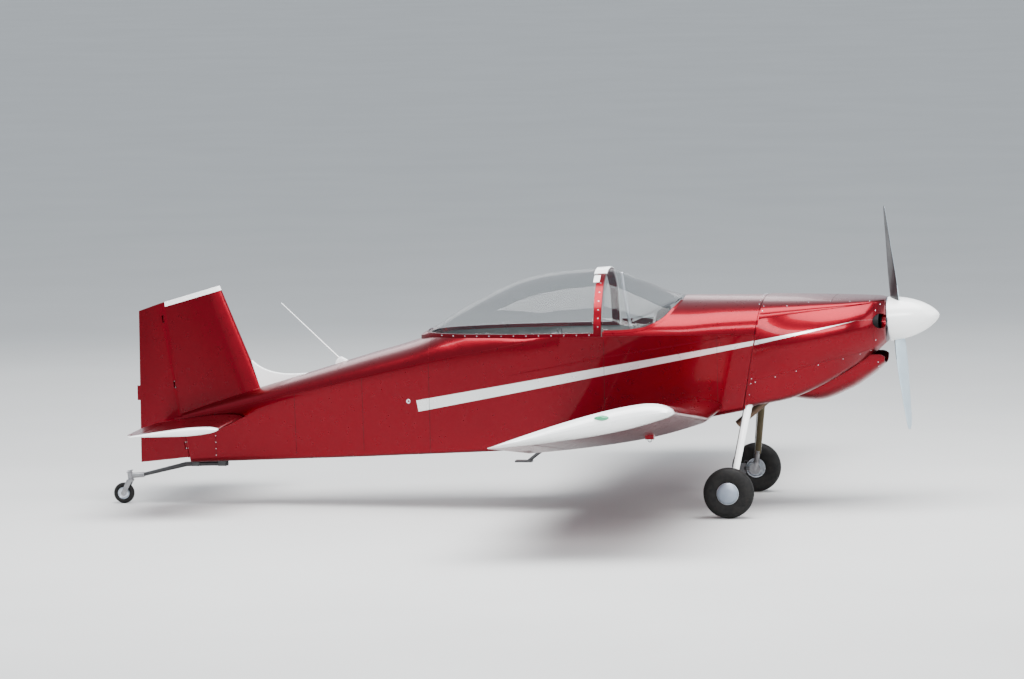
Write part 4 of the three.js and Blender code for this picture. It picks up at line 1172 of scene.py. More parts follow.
@dataclass
class Canopy:
    """The sliding canopy with its frame, and the fixed windscreen."""

    finishes: Finishes
    fuselage: Fuselage
    arches: tuple[Row, ...] = (
        (604, 470, 1687), (418, 469, 1676), (272, 467, 1665), (125, 460, 1644), (-23, 446, 1608),
        (-170, 424, 1551), (-319, 390, 1479), (-467, 332, 1399), (-590, 262, 1322), (-690, 168, 1258),
        (-742, 92, 1225))
    screen_arches: tuple[Row, ...] = (
        (606, 470, 1687), (709, 470, 1649), (817, 469, 1606), (910, 466, 1567), (988, 460, 1530),
        (1050, 453, 1511), (1100, 440, 1499), (1150, 424, 1492))
    glass_wall: float = 5.0
    frame_wall: float = 24.0
    sill: float = 26.0
    bow: float = 550.0
    tip: float = -690.0

    def bubble(self, table: Sequence[Row], stations: Sequence[float], wall: float = 0.0,
               drop: float = 90.0) -> Mesh:
        """Makes a closed bubble through arches.

        Args:
            table: x, half-width at the rail and top of each arch.
            stations: where the arches stand.
            wall: how far they are set in.
            drop: how far the feet go below the rail.

        Returns:
            The closed bubble.
        """
        rows = []
        for x in stations:
            held = min(max(x, min(row[0] for row in table)), max(row[0] for row in table))
            half = flowing(table, 1, held) - wall
            top = flowing(table, 2, held) - wall
            foot = rail(x)
            round_top = [at(x, *arch(i / 44 * math.pi, half, foot, top)) for i in range(45)]
            rows.append([at(x, half, foot - drop), *round_top, at(x, -half, foot - drop)])
        return closed_mesh(rows)

    def screen(self, wall: float = 0.0) -> Mesh:
        """Makes the windscreen's whole bubble."""
        return self.bubble(self.screen_arches, spread(590, 1150, 20) if wall else spread(606, 1150, 20), wall)

    def hood(self, wall: float = 0.0) -> Mesh:
        """Makes the sliding canopy's whole bubble."""
        stations = spread(640, -700, 44) if wall else spread(604, -742, 44)
        return self.bubble(self.arches, stations, wall, 95.0 if wall else 90.0)

    def above(self, lift: float, start: float, end: float) -> Mesh:
        """Makes the space above the rail between two places."""
        return plate([(start, rail(start) + lift), (end, rail(end) + lift), (end, 2400), (start, 2400)])

    def turtledeck(self, grow: float) -> Mesh:
        """Makes the fuselage behind the cabin, grown a little, which the canopy slides over."""
        return self.fuselage.body(-1000, -639, -grow)

    def build(self) -> None:
        """Builds the glass, the frame and the windscreen."""
        glass = carved(carved(self.hood(), self.hood(self.glass_wall), self.turtledeck(0.6)),
                       self.above(self.sill + 0.5, self.tip + 0.5, self.bow - 0.5), how=Cut.COMMON)
        Piece("canopy_glass_shell", glass, self.finishes.acrylic, "canopy", replaces=("canopy_glass",),
              edge=Edge.SMOOTH).build()
        shell = carved(self.hood(), self.hood(self.frame_wall), self.turtledeck(0.6))
        rails = carved(shell.copy(), self.above(0.3, -640.0, 610), how=Cut.COMMON)
        aft = carved(shell, self.above(-40, -760, -640.0), how=Cut.COMMON)
        hole = self.above(self.sill, self.tip, self.bow)
        parts = [carved(rails, hole.copy()), carved(aft, hole)]
        Piece("canopy_frame_shell", merged(parts), self.finishes.red, "canopy",
              replaces=("canopy_frame",), bevel=0.0012).build()
        screen = carved(self.screen(), self.screen(self.glass_wall))
        screen = carved(screen, self.fuselage.body(560, 1300, -0.5))
        screen = carved(screen, self.above(0.3, 612, 1300), how=Cut.COMMON)
        Piece("windscreen_shell", screen, self.finishes.acrylic, replaces=("windscreen",),
              edge=Edge.SMOOTH).build()


def quadratic(t: float, start: float, bend: float, end: float) -> float:
    """Gives a point of a simple curve between two ends."""
    return (1 - t) ** 2 * start + 2 * t * (1 - t) * bend + t * t * end


def shares(count: int) -> list[float]:
    """Gives shares from 1 down to nearly 0 that crowd towards both ends."""
    return [(1 + math.cos(i / count * math.pi)) / 2 for i in range(count)]


@dataclass
class Wing:
    """The wing: its centre section and outer panels, with flaps and ailerons on round noses."""

    finishes: Finishes
    chord: float = 1270.0
    tilt: float = math.radians(11.1)
    break_y: float = 1200.0
    root: Point = (1449.0, 0.0, 743.0)
    tip: Point = (1474.0, 3175.0, 996.0)
    hinge_share: float = 0.78
    nose: float = 36.0
    cove: float = 43.0
    gap: float = 5.5
    joint: float = 0.15
    tip_start: float = 3050.0
    flap: Pair = (500.0, 1182.0)
    aileron: Pair = (1222.0, 2960.0)
    steps: int = 34

    def heights(self, share: float) -> Pair:
        """Gives the upper and lower height of the section at a share of the chord.

        Args:
            share: the share, from the leading edge.

        Returns:
            Both heights, as shares of the chord.
        """
        x = share
        thick = 0.6 * (0.2969 * math.sqrt(x) - 0.126 * x - 0.3516 * x ** 2
                       + 0.2843 * x ** 3 - 0.1015 * x ** 4)
        camber = 2.6595 * (x ** 3 - 0.6075 * x ** 2 + 0.1147 * x) if x < 0.2025 else 0.02208 * (1 - x)
        return camber + thick, camber - thick

    def section(self, lead: Point, chord: float, thick: float = 1.0) -> list[Vector]:
        """Gives one wing section.

        Args:
            lead: its leading edge.
            chord: its length.
            thick: its thickness as a share of the full one.

        Returns:
            Its points from the trailing edge over the top and back underneath.
        """
        cos, sin = math.cos(self.tilt), math.sin(self.tilt)

        def point(share: float, height: float) -> Vector:
            """Places a point of the section."""
            back, up = share * chord, height * chord * thick
            return at(lead[0] - back * cos - up * sin, lead[1], lead[2] - back * sin + up * cos)

        crowd = shares(self.steps)
        over = [point(s, self.heights(s)[0]) for s in crowd]
        under = [point(s, self.heights(s)[1]) for s in reversed(crowd)]
        return [*over, point(0, 0), *under]

    def leading(self, y: float) -> Point:
        """Gives the leading edge at a place along the span.

        Args:
            y: the place along the span.

        Returns:
            The place in millimetres.
        """
        t = max(0.0, (y - self.break_y) / (self.tip[1] - self.break_y))
        return (self.root[0] + t * (self.tip[0] - self.root[0]), y,
                self.root[2] + t * (self.tip[2] - self.root[2]))

    def hinge(self, y: float) -> Vector:
        """Gives the hinge line at a place along the span.

        Args:
            y: the place along the span.

        Returns:
            The place in metres.
        """
        x, _, z = self.leading(y)
        back = self.hinge_share * self.chord
        rise = sum(self.heights(self.hinge_share)) / 2 * self.chord
        return at(x - math.cos(self.tilt) * back - math.sin(self.tilt) * rise, y,
                  z - math.sin(self.tilt) * back + math.cos(self.tilt) * rise)

    def behind(self, start: float, end: float) -> Mesh:
        """Makes the space behind the hinge line between two stations.

        Args:
            start: the inner station.
            end: the outer station.

        Returns:
            The closed block.
        """
        first, last = self.hinge(start), self.hinge(end)
        bm = bmesh.new()
        bmesh.ops.create_cube(bm, size=1.0)
        for vert in bm.verts:
            vert.co = Vector(((vert.co.x - 0.5) * 0.6, vert.co.y * (last - first).length,
                              vert.co.z * 0.7 - 0.05))
        turn = Vector((0, 1, 0)).rotation_difference(last - first).to_matrix().to_4x4()
        bmesh.ops.transform(bm, matrix=Matrix.Translation((first + last) / 2) @ turn, verts=bm.verts[:])
        return bm

    def moving(self, wing: Mesh, span: Pair) -> Mesh:
        """Cuts a flap or aileron with its round nose from a wing body.

        Args:
            wing: the wing body, freed here.
            span: where it starts and ends along the span.

        Returns:
            The closed flap or aileron.
        """
        start, end = span
        nose = rod_mesh(self.hinge(start), self.hinge(end), self.nose * MM, sides=48)
        return carved(wing, carved(self.behind(start, end), nose, how=Cut.JOIN), how=Cut.COMMON)

    def fixed(self, wing: Mesh, span: Pair) -> Mesh:
        """Cuts the bay for a flap or aileron into a wing body and adds its pins."""
        return merged([carved(wing, self.bay(span)), *self.pins(span)])

    def pins(self, span: Pair, sign: int = 1) -> list[Mesh]:
        """Makes the two pins that a flap or aileron turns on, on one side of the aircraft."""
        return [rod_mesh(self.hinge(sign * a), self.hinge(sign * b), 0.006, sides=16)
                for a, b in ((span[0] - 12, span[0] + 14), (span[1] - 14, span[1] + 12))]

    def bay(self, span: Pair) -> Mesh:
        """Makes the room for a flap or aileron and its round nose.

        Args:
            span: where it starts and ends along the span.

        Returns:
            The closed room.
        """
        low, high = span[0] - self.gap, span[1] + self.gap
        hollow = rod_mesh(self.hinge(low), self.hinge(high), self.cove * MM, sides=48)
        return carved(self.behind(low, high), hollow, how=Cut.JOIN)

    def centre_blank(self) -> Mesh:
        """Makes the whole centre section, before its flaps are cut out.

        Returns:
            The closed body.
        """
        x, _, z = self.root
        edge = self.break_y - self.joint
        return closed_mesh([self.section((x, y, z), self.chord) for y in (-edge, -60, 60, edge)])

    def outer_blank(self) -> Mesh:
        """Makes the whole left outer panel with its rounded tip.

        Returns:
            The closed body.
        """
        start, length = self.tip_start, self.tip[1] - self.tip_start
        rows = [self.section(self.leading(y), self.chord) for y in (self.break_y + self.joint, 2200, start)]
        for s in spread(0, 1, 14)[1:]:
            y = start + length * math.sin(s * math.pi / 2)
            share = (y - start) / length
            chord = 1 - 0.07 * share ** 3
            thick = max(0.14, math.sqrt(max(0.0, 1 - share ** 2.4)))
            x, _, z = self.leading(y)
            x -= (1 - chord) * self.chord * 0.5
            z -= (1 - chord) * self.chord * 0.1
            rows.append(self.section((x, y, z), self.chord * chord, thick))
        return closed_mesh(rows)

    def build(self) -> None:
        """Builds the wing and everything that hinges on it."""
        red = self.finishes.red
        other = (-self.flap[1], -self.flap[0])
        body = carved(self.centre_blank(), self.bay(self.flap), self.bay(other))
        centre = merged([body, *self.pins(self.flap), *self.pins(self.flap, -1)])
        Piece("wing_centre_skin", centre, red, replaces=("wing_centre",), bevel=0.001).build()
        flap = self.moving(self.centre_blank(), self.flap)
        aileron = self.moving(self.outer_blank(), self.aileron)
        panel = merged([self.fixed(self.outer_blank(), self.aileron),
                        box_mesh((1070, 1580, 640), (1130, 1620, 700))])
        for side in Side:
            for kind, mesh in (("wing", panel), ("aileron", aileron), ("flap", flap)):
                name = f"{kind}_{side.word}"
                owner = "root" if kind == "wing" else f"{name}_body"
                skin = Piece(f"{name}_skin", side.handed(mesh), red, owner, replaces=(name,),
                             bevel=0.001).build()
                if kind == "wing":
                    second_finish(skin, self.finishes.white,
                                  lambda centre, normal: abs(centre.y) > self.tip_start * MM)
        for mesh in (flap, aileron, panel):
            mesh.free()

@dataclass
class Tail:
    """The fin with its cap and fillet, the rudder, and the all-moving tailplane with its tabs."""

    finishes: Finishes
    fuselage: Fuselage
    fin_form: tuple[Row, ...] = ((0, 0.12), (0.02, 0.36), (0.06, 0.58), (0.25, 1.0), (0.55, 0.95), (1, 0.5))
    rudder_form: tuple[Row, ...] = ((0, 0.55), (0.04, 0.8), (0.12, 0.95), (0.3, 1.0), (1, 0.16))
    plane_form: tuple[Row, ...] = ((0, 0.05), (0.005, 0.2), (0.02, 0.38), (0.1, 0.78), (0.3, 1.0),
                                   (0.6, 0.72), (1, 0.1))
    fin_foot: Pair = (-1915.0, 824.0)
    fin_head: Pair = (-2217.0, 1568.0)
    fin_rear: Pair = (-2649.0, 1444.0)
    rudder_head: Pair = (-2812.0, 1387.0)
    rudder_toe: Pair = (-2513.0, 330.0)
    rudder_heel: Pair = (-2785.0, 301.0)
    rudder_trail: tuple[Pair, Pair] = ((326.0, -2818.0), (1386.0, -2812.0))
    fin_halves: tuple[Pair, Pair] = ((560.0, 44.0), (1640.0, 26.0))
    eyes: tuple[float, ...] = (420.0, 860.0, 1330.0)
    plane_lead: Pair = (-2030.0, 642.0)
    plane_trail: Pair = (-2675.0, 589.0)
    tab: Pair = (330.0, 880.0)
    tab_hinge: float = -2590.0
    reach: float = 300.0
    lip_reach: float = 6.0
    lip_rim: Pair = (18.8, 19.6)
    lip_root: Pair = (-1.5, 0.6)
    white_tip: float = 1.0105

    def fin_lead(self, z: float) -> float:
        """Gives the x of the fin's leading edge at a height."""
        return on_line(z, self.fin_foot[::-1], self.fin_head[::-1])

    def top(self, x: float) -> float:
        """Gives the height of the fin's top edge at x."""
        return on_line(x, self.fin_head, self.fin_rear)

    def blade(self, lead: float, trail: float, z: float, thick: float, form: Sequence[Row]) -> list[Vector]:
        """Gives one level section of a fin or rudder.

        Args:
            lead: x of its front.
            trail: x of its rear.
            z: its height.
            thick: its half thickness.
            form: share of the chord and of the thickness.

        Returns:
            Its points, round both sides.
        """
        steps = [s * s for s in spread(0, 1, 18)]
        half = [(lead + (trail - lead) * s, thick * flowing(form, 1, s)) for s in steps]
        return [*(at(x, y, z) for x, y in half), *(at(x, -y, z) for x, y in reversed(half))]

    def fin_half(self, z: float) -> float:
        """Gives half the fin's thickness at a height."""
        return on_line(z, *self.fin_halves)

    def fin_trail(self, z: float) -> float:
        """Gives the x of the fin's trailing edge at a height."""
        return self.fuselage.post(z) + self.fuselage.post_clear

    def fin_blank(self) -> Mesh:
        """Makes the whole fin, higher and lower than it shows.

        Returns:
            The closed body.
        """
        rows = [self.blade(self.fin_lead(z), self.fin_trail(z), z, self.fin_half(z), self.fin_form)
                for z in (560, 900, 1300, 1640)]
        return closed_mesh(rows)

    def lip(self, sign: int) -> Mesh:
        """Makes the thin lip that covers the rudder's hinge gap on one side of the fin.

        Args:
            sign: 1 for the left and -1 for the right.

        Returns:
            The closed lip.
        """
        rows = []
        for z in spread(620, 1600, 8):
            root, rim = self.fin_trail(z) + self.lip_reach, self.fuselage.post(z) + self.lip_reach
            half = self.fin_half(z) * 0.5
            rows.append([at(root, sign * (half + self.lip_root[0]), z), at(rim, sign * self.lip_rim[0], z),
                         at(rim, sign * self.lip_rim[1], z), at(root, sign * (half + self.lip_root[1]), z)])
        return carved(closed_mesh(rows), self.under(0, 600), how=Cut.COMMON)

    def eye(self, z: float) -> Mesh:
        """Makes one hinge eye for the rudder's pin.

        Args:
            z: its height.

        Returns:
            The closed eye.
        """
        x = self.fuselage.post(z)
        eye = rod_mesh(at(x, 0, z - 18), at(x, 0, z + 18), 0.011, sides=24)
        return merged([eye, box_mesh((x, -8, z - 18), (x + self.fuselage.post_clear + 8, 8, z + 18))])

    def under(self, drop: float, low: float) -> Mesh:
        """Makes the space below the fin's top edge.

        Args:
            drop: how far below the edge it ends.
            low: the height of its foot.

        Returns:
            The closed space.
        """
        ends = (-2900.0, -1700.0)
        return plate([(ends[0], low), (ends[1], low), *((x, self.top(x) - drop) for x in reversed(ends))],
                     -self.reach, self.reach)

    def fin(self) -> None:
        """Builds the fin with its lips, its white cap and the white fillet ahead of it."""
        red, white = self.finishes.red, self.finishes.white
        body = carved(self.fin_blank(), self.under(36.3, 600), how=Cut.COMMON)
        Piece("fin_skin", merged([body, self.eye(self.eyes[1]), self.eye(self.eyes[2])]), red,
              replaces=("fin",), bevel=0.001).build()
        Piece("fin_hinge_lips", merged([self.lip(side.value) for side in Side]), red).build()
        cap = carved(carved(self.fin_blank(), self.under(0, 600), how=Cut.COMMON), self.under(36, 500))
        Piece("fin_cap_skin", cap, white, replaces=("fin_cap",), bevel=0.003).build()
        outline = [(quadratic(t, -1573, -1870, -1990), quadratic(t, 944, 905, 1034))
                   for t in spread(0, 1, 16)]
        body = plate([*outline, (-1996, 1022), (-1925, 800), (-1573, 890)], -16, 16)
        Piece("dorsal_fillet_skin", body, white, replaces=("dorsal_fillet",),
              bevel=0.007).build()

    def rudder(self) -> None:
        """Builds the rudder with its pins and trim tab."""
        post = self.fuselage.post
        rows = [self.blade(post(z) + 12, on_line(z, *self.rudder_trail), z, 20, self.rudder_form)
                for z in (270, 700, 1100, 1470)]

        def high(x: float) -> float:
            """The height of the rudder's top edge."""
            return on_line(x, self.fin_rear, self.rudder_head)

        def low(x: float) -> float:
            """The height of the rudder's foot."""
            return on_line(x, self.rudder_toe, self.rudder_heel)

        zone = plate([(-2900, low(-2900)), (-2300, low(-2300)), (-2300, high(-2300)), (-2900, high(-2900))],
                     -self.reach, self.reach)
        nose = rod_mesh(at(post(300), 0, 300), at(post(1450), 0, 1450), 0.016, sides=32)
        body = carved(carved(closed_mesh(rows), nose, how=Cut.JOIN), zone, how=Cut.COMMON)
        for z in self.eyes:
            body = carved(body, rod_mesh(at(post(z - 26), 0, z - 26), at(post(z + 26), 0, z + 26), 0.021,
                                         sides=24))
        pin = rod_mesh(at(post(330), 0, 330), at(post(1420), 0, 1420), 0.005, sides=12)
        tab = box_mesh((-2836, -2, 745), (-2800, 2, 850))
        Piece("rudder_skin", merged([body, pin, tab]), self.finishes.red, "rudder_body",
              replaces=("rudder",), bevel=0.001).build()

    def plane_z(self, x: float) -> float:
        """Gives the height of the tailplane's middle at x."""
        return on_line(x, self.plane_lead, self.plane_trail)

    def plane_row(self, y: Callable[[float], float], lead: float, trail: float, thick: float) -> list[Vector]:
        """Gives one section of the tailplane, whose y may change with x.

        Args:
            y: gives the place across for an x.
            lead: x of its front.
            trail: x of its rear.
            thick: its half thickness.

        Returns:
            Its points, over the top and back underneath.
        """
        steps = [s * s for s in spread(0, 1, 22)]
        half = [(lead + (trail - lead) * s, thick * flowing(self.plane_form, 1, s)) for s in steps]
        return [*(at(x, y(x), self.plane_z(x) + h) for x, h in half),
                *(at(x, y(x), self.plane_z(x) - h) for x, h in reversed(half))]

    def tailplane(self) -> None:
        """Builds both halves of the tailplane on their tube, and the tabs."""
        lead, trail = self.plane_lead[0], self.plane_trail[0]
        rows = [self.plane_row(lambda x: on_line(x, (lead, 192), (trail, 122)), lead, trail, 30),
                self.plane_row(lambda x: 600, lead, trail, 30),
                self.plane_row(lambda x: 1010, lead, trail, 30)]
        for turn in (s * math.pi / 2 for s in spread(0, 1, 8)[1:]):
            reach = math.sin(turn)
            rows.append(self.plane_row(lambda x, r=reach: 1010 + 43 * r, lead - 24 * reach ** 3,
                                       trail + 10 * reach ** 3, 30 * max(0.2, math.cos(turn) ** 0.5)))
        start, end = self.tab
        hinge = (self.tab_hinge, self.plane_z(self.tab_hinge))
        room = carved(box_mesh((-2800, start - 5.5, 400), (hinge[0], end + 5.5, 800)),
                      rod_mesh(at(hinge[0], start - 5.5, hinge[1]), at(hinge[0], end + 5.5, hinge[1]), 0.0125,
                               sides=24), how=Cut.JOIN)
        half = carved(closed_mesh(rows), room)
        pins = [rod_mesh(at(hinge[0], a, hinge[1]), at(hinge[0], b, hinge[1]), 0.003, sides=12)
                for a, b in ((start - 20, start + 14), (end - 14, end + 20))]
        half = merged([half, *pins])
        tube = rod_mesh(at(-2190, -400, 629), at(-2190, 400, 629), 0.022, sides=32)
        skin = Piece("tailplane_skin", merged([mirrored(half), half, tube]), self.finishes.red,
                     "tailplane_body", replaces=("tailplane",), bevel=0.0008).build()
        second_finish(skin, self.finishes.white, lambda centre, normal: abs(centre.y) > self.white_tip)
        drop = (self.plane_z(-2500) - self.plane_z(-2600)) / 100
        rows = [[at(hinge[0] + dx, y, hinge[1] + dz + drop * dx)
                 for dx, dz in ((0, 7), (-62, 4.6), (-125, 1.5), (-125, -1.5), (-62, -4.6), (0, -7))]
                for y in (start, end)]
        nose = rod_mesh(at(hinge[0], start, hinge[1]), at(hinge[0], end, hinge[1]), 0.007, sides=24)
        tab = carved(closed_mesh(rows), nose, how=Cut.JOIN)
        for side in Side:
            Piece(f"tab_{side.word}_skin", side.handed(tab), self.finishes.red, "tabs",
                  replaces=(f"tab_{side.word}",), bevel=0.0006).build()
        tab.free()

    def build(self) -> None:
        """Builds the whole tail."""
        self.fin()
        self.rudder()
        self.tailplane()


def both_faces(half: Outline) -> list[Pair]:
    """Completes a wheel's half profile of radius and width across its middle."""
    return [*half, *((r, -w) for r, w in reversed(half) if w)]


@dataclass
class Wheel:
    """A wheel on a level axle: its tyre, rim and hub cap, as closed profiles of radius and width."""

    finishes: Finishes
    tyre: tuple[Pair, ...] = (
        (70, 50), (78, 56), (90, 60), (120, 63), (140, 61.5), (155, 56), (166, 47), (171, 39), (173, 34),
        (170, 32.5), (170, 30), (174.5, 28.5), (176, 16), (173, 14.5), (173, 12), (176.8, 10.5), (177, 0))
    rim: tuple[Pair, ...] = (
        (69.7, 53), (71, 56.5), (76, 58), (76.5, 60), (74, 61.5), (70, 61), (66, 57), (60, 40), (30, 38),
        (15.3, 40), (15.3, -48), (28, -48), (34, -30), (56, -30), (62, -52), (69.7, -52))
    cap: tuple[Pair, ...] = (
        (0, 60), (66, 60), (73.5, 60), (74, 62), (72, 66), (66, 73), (56, 78.5), (44, 82), (30, 84.5),
        (15, 85.7), (0, 86))

    def build(self, side: Side, centre: Point) -> None:
        """Builds one main wheel.

        Args:
            side: which side of the aircraft it is on.
            centre: the middle of the wheel, in millimetres.
        """
        word, body = side.word, f"wheel_{side.word}"
        middle, out = at(*centre), Vector((0, side.value, 0))
        Piece(f"main_tyre_{word}_rubber", spun_mesh(both_faces(self.tyre), middle, out, 96),
              self.finishes.rubber, body, "tyre_rubber", (f"main_tyre_{word}",), edge=Edge.PANEL).build()
        Piece(f"main_wheel_{word}_rim", spun_mesh(self.rim, middle, out, 96), self.finishes.alloy, body,
              "alloy", (f"main_wheel_{word}",)).build()
        Piece(f"main_wheel_{word}_cap", spun_mesh(self.cap, middle, out, 96), self.finishes.cap, body,
              "alloy", edge=Edge.PANEL).build()


@dataclass
class MainGear:
    """The two sprung legs in their fairings, with axles, brakes and wheels."""

    finishes: Finishes
    wheel: Wheel
    axle: Point = (1533.0, 795.0, 177.0)
    foot: Point = (1548.0, 698.0, 205.0)
    top: Point = (1640.0, 372.0, 800.0)
    fairing_foot: float = 0.14

    def leg_row(self, share: float, chord: float, thick: float) -> list[Vector]:
        """Gives one streamlined section of the leg's fairing.

        Args:
            share: how far up the leg it is.
            chord: half its length.
            thick: half its width.

        Returns:
            Its points.
        """
        x, y, z = (a + (b - a) * share for a, b in zip(self.foot, self.top))
        points = []
        for turn in turns(32):
            reach = math.cos(turn)
            slim = 1.0 if reach > 0 else 1 - 0.45 * abs(reach) ** 1.5
            points.append(at(x + reach * chord, y + math.sin(turn) * thick * slim, z))
        return points

    def build(self) -> None:
        """Builds both legs and both wheels."""
        x, y, z = self.axle
        rows = [self.leg_row(s, 21 + 6 * s, 13 + 8 * s) for s in spread(self.fairing_foot, 1, 10)]
        fairing = closed_mesh(rows)
        foot = Vector(self.foot)
        start = foot + (Vector(self.top) - foot) * (self.fairing_foot + 0.05)
        spring = merged([
            rod_mesh(at(*start), at(foot.x, 698, 222), 0.0165, 0.017, 24),
            rod_mesh(at(foot.x, 698, 224), at(x, 698, z - 10), 0.019, sides=28),
            rod_mesh(at(x, 684, z), at(x, 712, z), 0.040, sides=40),
            rod_mesh(at(x, 700, z), at(x, y + 36, z), 0.015, sides=24),
            rod_mesh(at(x - 40, 702, z), at(x - 40, 716, z), 0.006, sides=6),
        ])
        brake = merged([box_mesh((x - 112, 700, z - 36), (x - 64, 722, z + 36)),
                        box_mesh((x - 80, 700, z - 14), (x, 709, z + 14)),
                        rod_mesh(at(x - 88, 698, z + 20), at(x - 88, 726, z + 20), 0.007, sides=12),
                        rod_mesh(at(x - 88, 698, z - 20), at(x - 88, 726, z - 20), 0.007, sides=12)])
        for side in Side:
            word = side.word
            cover = Piece(f"gear_leg_{word}_fairing", side.handed(fairing), self.finishes.white,
                          replaces=(f"gear_leg_{word}",), bevel=0.001).build()
            # Inboard-facing faces of the white fairing take dark bronze: painted shade on the side away from
            # the lights
            second_finish(cover, self.finishes.bronze,
                          lambda centre, normal, s=side.value: normal.y * s < -0.2 and normal.x > -0.75)
            Piece(f"gear_leg_{word}_spring", side.handed(spring), self.finishes.steel,
                  bevel=0.0008).build()
            Piece(f"brake_{word}", side.handed(brake), self.finishes.casting,
                  bevel=0.0015).build()
            self.wheel.build(side, (x, side.value * y, z))
        for part in (fairing, spring, brake):
            part.free()


@dataclass
class Propeller:
    """The two-blade propeller with its spinner, on the thrust line."""

    finishes: Finishes
    cowling: Cowling
    radius: float = 835.0
    turn: float = 15.0
    form: tuple[Row, ...] = ((0.05, 84, 46, 50), (0.16, 96, 34, 42), (0.3, 124, 24, 33), (0.5, 146, 17, 24),
                             (0.75, 138, 12, 17), (0.92, 112, 8, 14), (0.985, 70, 6, 13), (1, 30, 4, 13))
    spinner_radius: float = 155.0
    spinner_back: float = -49.0
    spinner_tip: float = 300.0

    def blade(self, half: float, grow: float = 0.0) -> Mesh:
        """Makes one blade.

        Args:
            half: 0 for one blade and 1 for the other.
            grow: how much thicker it is, in millimetres.

        Returns:
            The closed blade, in place.
        """
        rows = []
        for share in [*spread(0.05, 0.9, 26), *spread(0.9, 1, 10)[1:]]:
            chord, thick, pitch = (flowing(self.form, c, share) for c in (1, 2, 3))
            lean = math.radians(pitch)
            row = []
            for angle in turns(30):
                along = math.cos(angle) * (chord / 2 + grow)
                out = math.sin(angle) * (thick / 2 + grow)
                row.append(Vector(((out * math.cos(lean) + along * math.sin(lean)) * MM,
                                   (-along * math.cos(lean) + out * math.sin(lean)) * MM,
                                   share * self.radius * MM)))
            rows.append(row)
        bm = closed_mesh(rows)
        roll = Matrix.Rotation(math.radians(self.turn) + half * math.pi, 4, "X")
        tilt = Matrix.Rotation(-math.radians(self.cowling.thrust_tilt), 4, "Y")
        place = Matrix.Translation(at(*self.cowling.hub)) @ tilt @ roll
        bmesh.ops.transform(bm, matrix=place, verts=bm.verts[:])
        return bm

    def spinner_width(self, share: float) -> float:
        """Gives the spinner's radius at a share of its length."""
        return self.spinner_radius * (1 - share ** 1.85) ** 0.66

    def build(self) -> None:
        """Builds the propeller and its spinner."""
        on = self.cowling.on_thrust
        axis = (on(1) - on(0)).normalized()
        length = self.spinner_tip - self.spinner_back
        steps = [0, 0.04, 0.08, *spread(0.12, 0.96, 24), 0.975, 0.99]
        outer = [(self.spinner_width(s), self.spinner_back + s * length) for s in steps]
        inner = [(self.spinner_width(s) - 4, self.spinner_back + s * length)
                 for s in reversed([s for s in steps if s < 0.9])]
        profile = [*outer, (0, self.spinner_tip), (0, self.spinner_back + 0.88 * length), *inner]
        shell = spun_mesh(profile, at(*self.cowling.hub), axis, 96)
        shell = carved(shell, self.blade(0, 2.0), self.blade(1, 2.0))
        Piece("spinner_shell", shell, self.finishes.white, "propeller_body", "white_paint", ("spinner",),
              bevel=0.0006).build()
        blades = merged([self.blade(0), self.blade(1)])
        blades.normal_update()
        for face in blades.faces:
            face.material_index = 1 if face.normal.dot(axis) > 0.05 else 0
        piece = Piece("propeller_blades", blades, self.finishes.black, "propeller_body", "black_paint",
                      ("propeller",), edge=Edge.SMOOTH).build()
        piece.data.materials.append(self.finishes.silver)
        hub = merged([
            rod_mesh(on(-40), on(46), 0.072, sides=48),
            rod_mesh(on(self.spinner_back - 7), on(self.spinner_back - 0.3), 0.153, sides=96),
            rod_mesh(on(self.spinner_back - 4), on(-38), 0.06, sides=48),
            rod_mesh(on(-96), on(self.spinner_back - 4), 0.055, sides=48)])
        Piece("propeller_hub", hub, self.finishes.alloy, "propeller_body", "black_paint", bevel=0.001).build()


def studs(spots: Iterable[Spot], radius: float, height: float, sides: int = 10) -> Mesh:
    """Sets low round heads on a surface.

    Args:
        spots: the place and outward direction of each.
        radius: their radius in millimetres.
        height: how far they stand out, in millimetres.
        sides: how many faces each has around.

    Returns:
        One mesh of them all.
    """
    bm = bmesh.new()
    for place, normal in spots:
        turn = Vector((0, 0, 1)).rotation_difference(normal).to_matrix().to_4x4()
        matrix = Matrix.Translation(place + normal * (height / 2 - 0.5) * MM) @ turn
        bmesh.ops.create_cone(bm, cap_ends=True, segments=sides, radius1=radius * MM,
                              radius2=radius * 0.7 * MM, depth=(height + 1) * MM, matrix=matrix)
    return bm


def strip(path: Sequence[Spot], width: float, height: float) -> Mesh:
    """Lays a narrow raised strip along a surface.

    Args:
        path: places on the surface with its outward direction at each.
        width: the strip's width in millimetres.
        height: how far it stands out, in millimetres.

    Returns:
        The closed strip.
    """
    rows = []
    for i, (place, normal) in enumerate(path):
        before, after = path[max(i - 1, 0)][0], path[min(i + 1, len(path) - 1)][0]
        across = (after - before).normalized().cross(normal).normalized() * width * MM / 2
        low, high = -normal * 0.8 * MM, normal * height * MM
        rows.append([place - across + low, place + across + low, place + across * 0.85 + high,
                     place - across * 0.85 + high])
    return closed_mesh(rows)


def tube(path: Sequence[Vector], radius: float, sides: int = 10) -> Mesh:
    """Makes a thin pipe or cable along a path.

    Args:
        path: the places it passes.
        radius: its radius in millimetres.
        sides: how many faces it has around.

    Returns:
        The closed pipe.
    """
    rows = []
    for i, place in enumerate(path):
        along = (path[min(i + 1, len(path) - 1)] - path[max(i - 1, 0)]).normalized()
        first = along.orthogonal().normalized() if i == 0 else (first - along * first.dot(along)).normalized()
        second = along.cross(first)
        rows.append([place + (first * math.cos(t) + second * math.sin(t)) * radius * MM
                     for t in turns(sides)])
    return closed_mesh(rows)


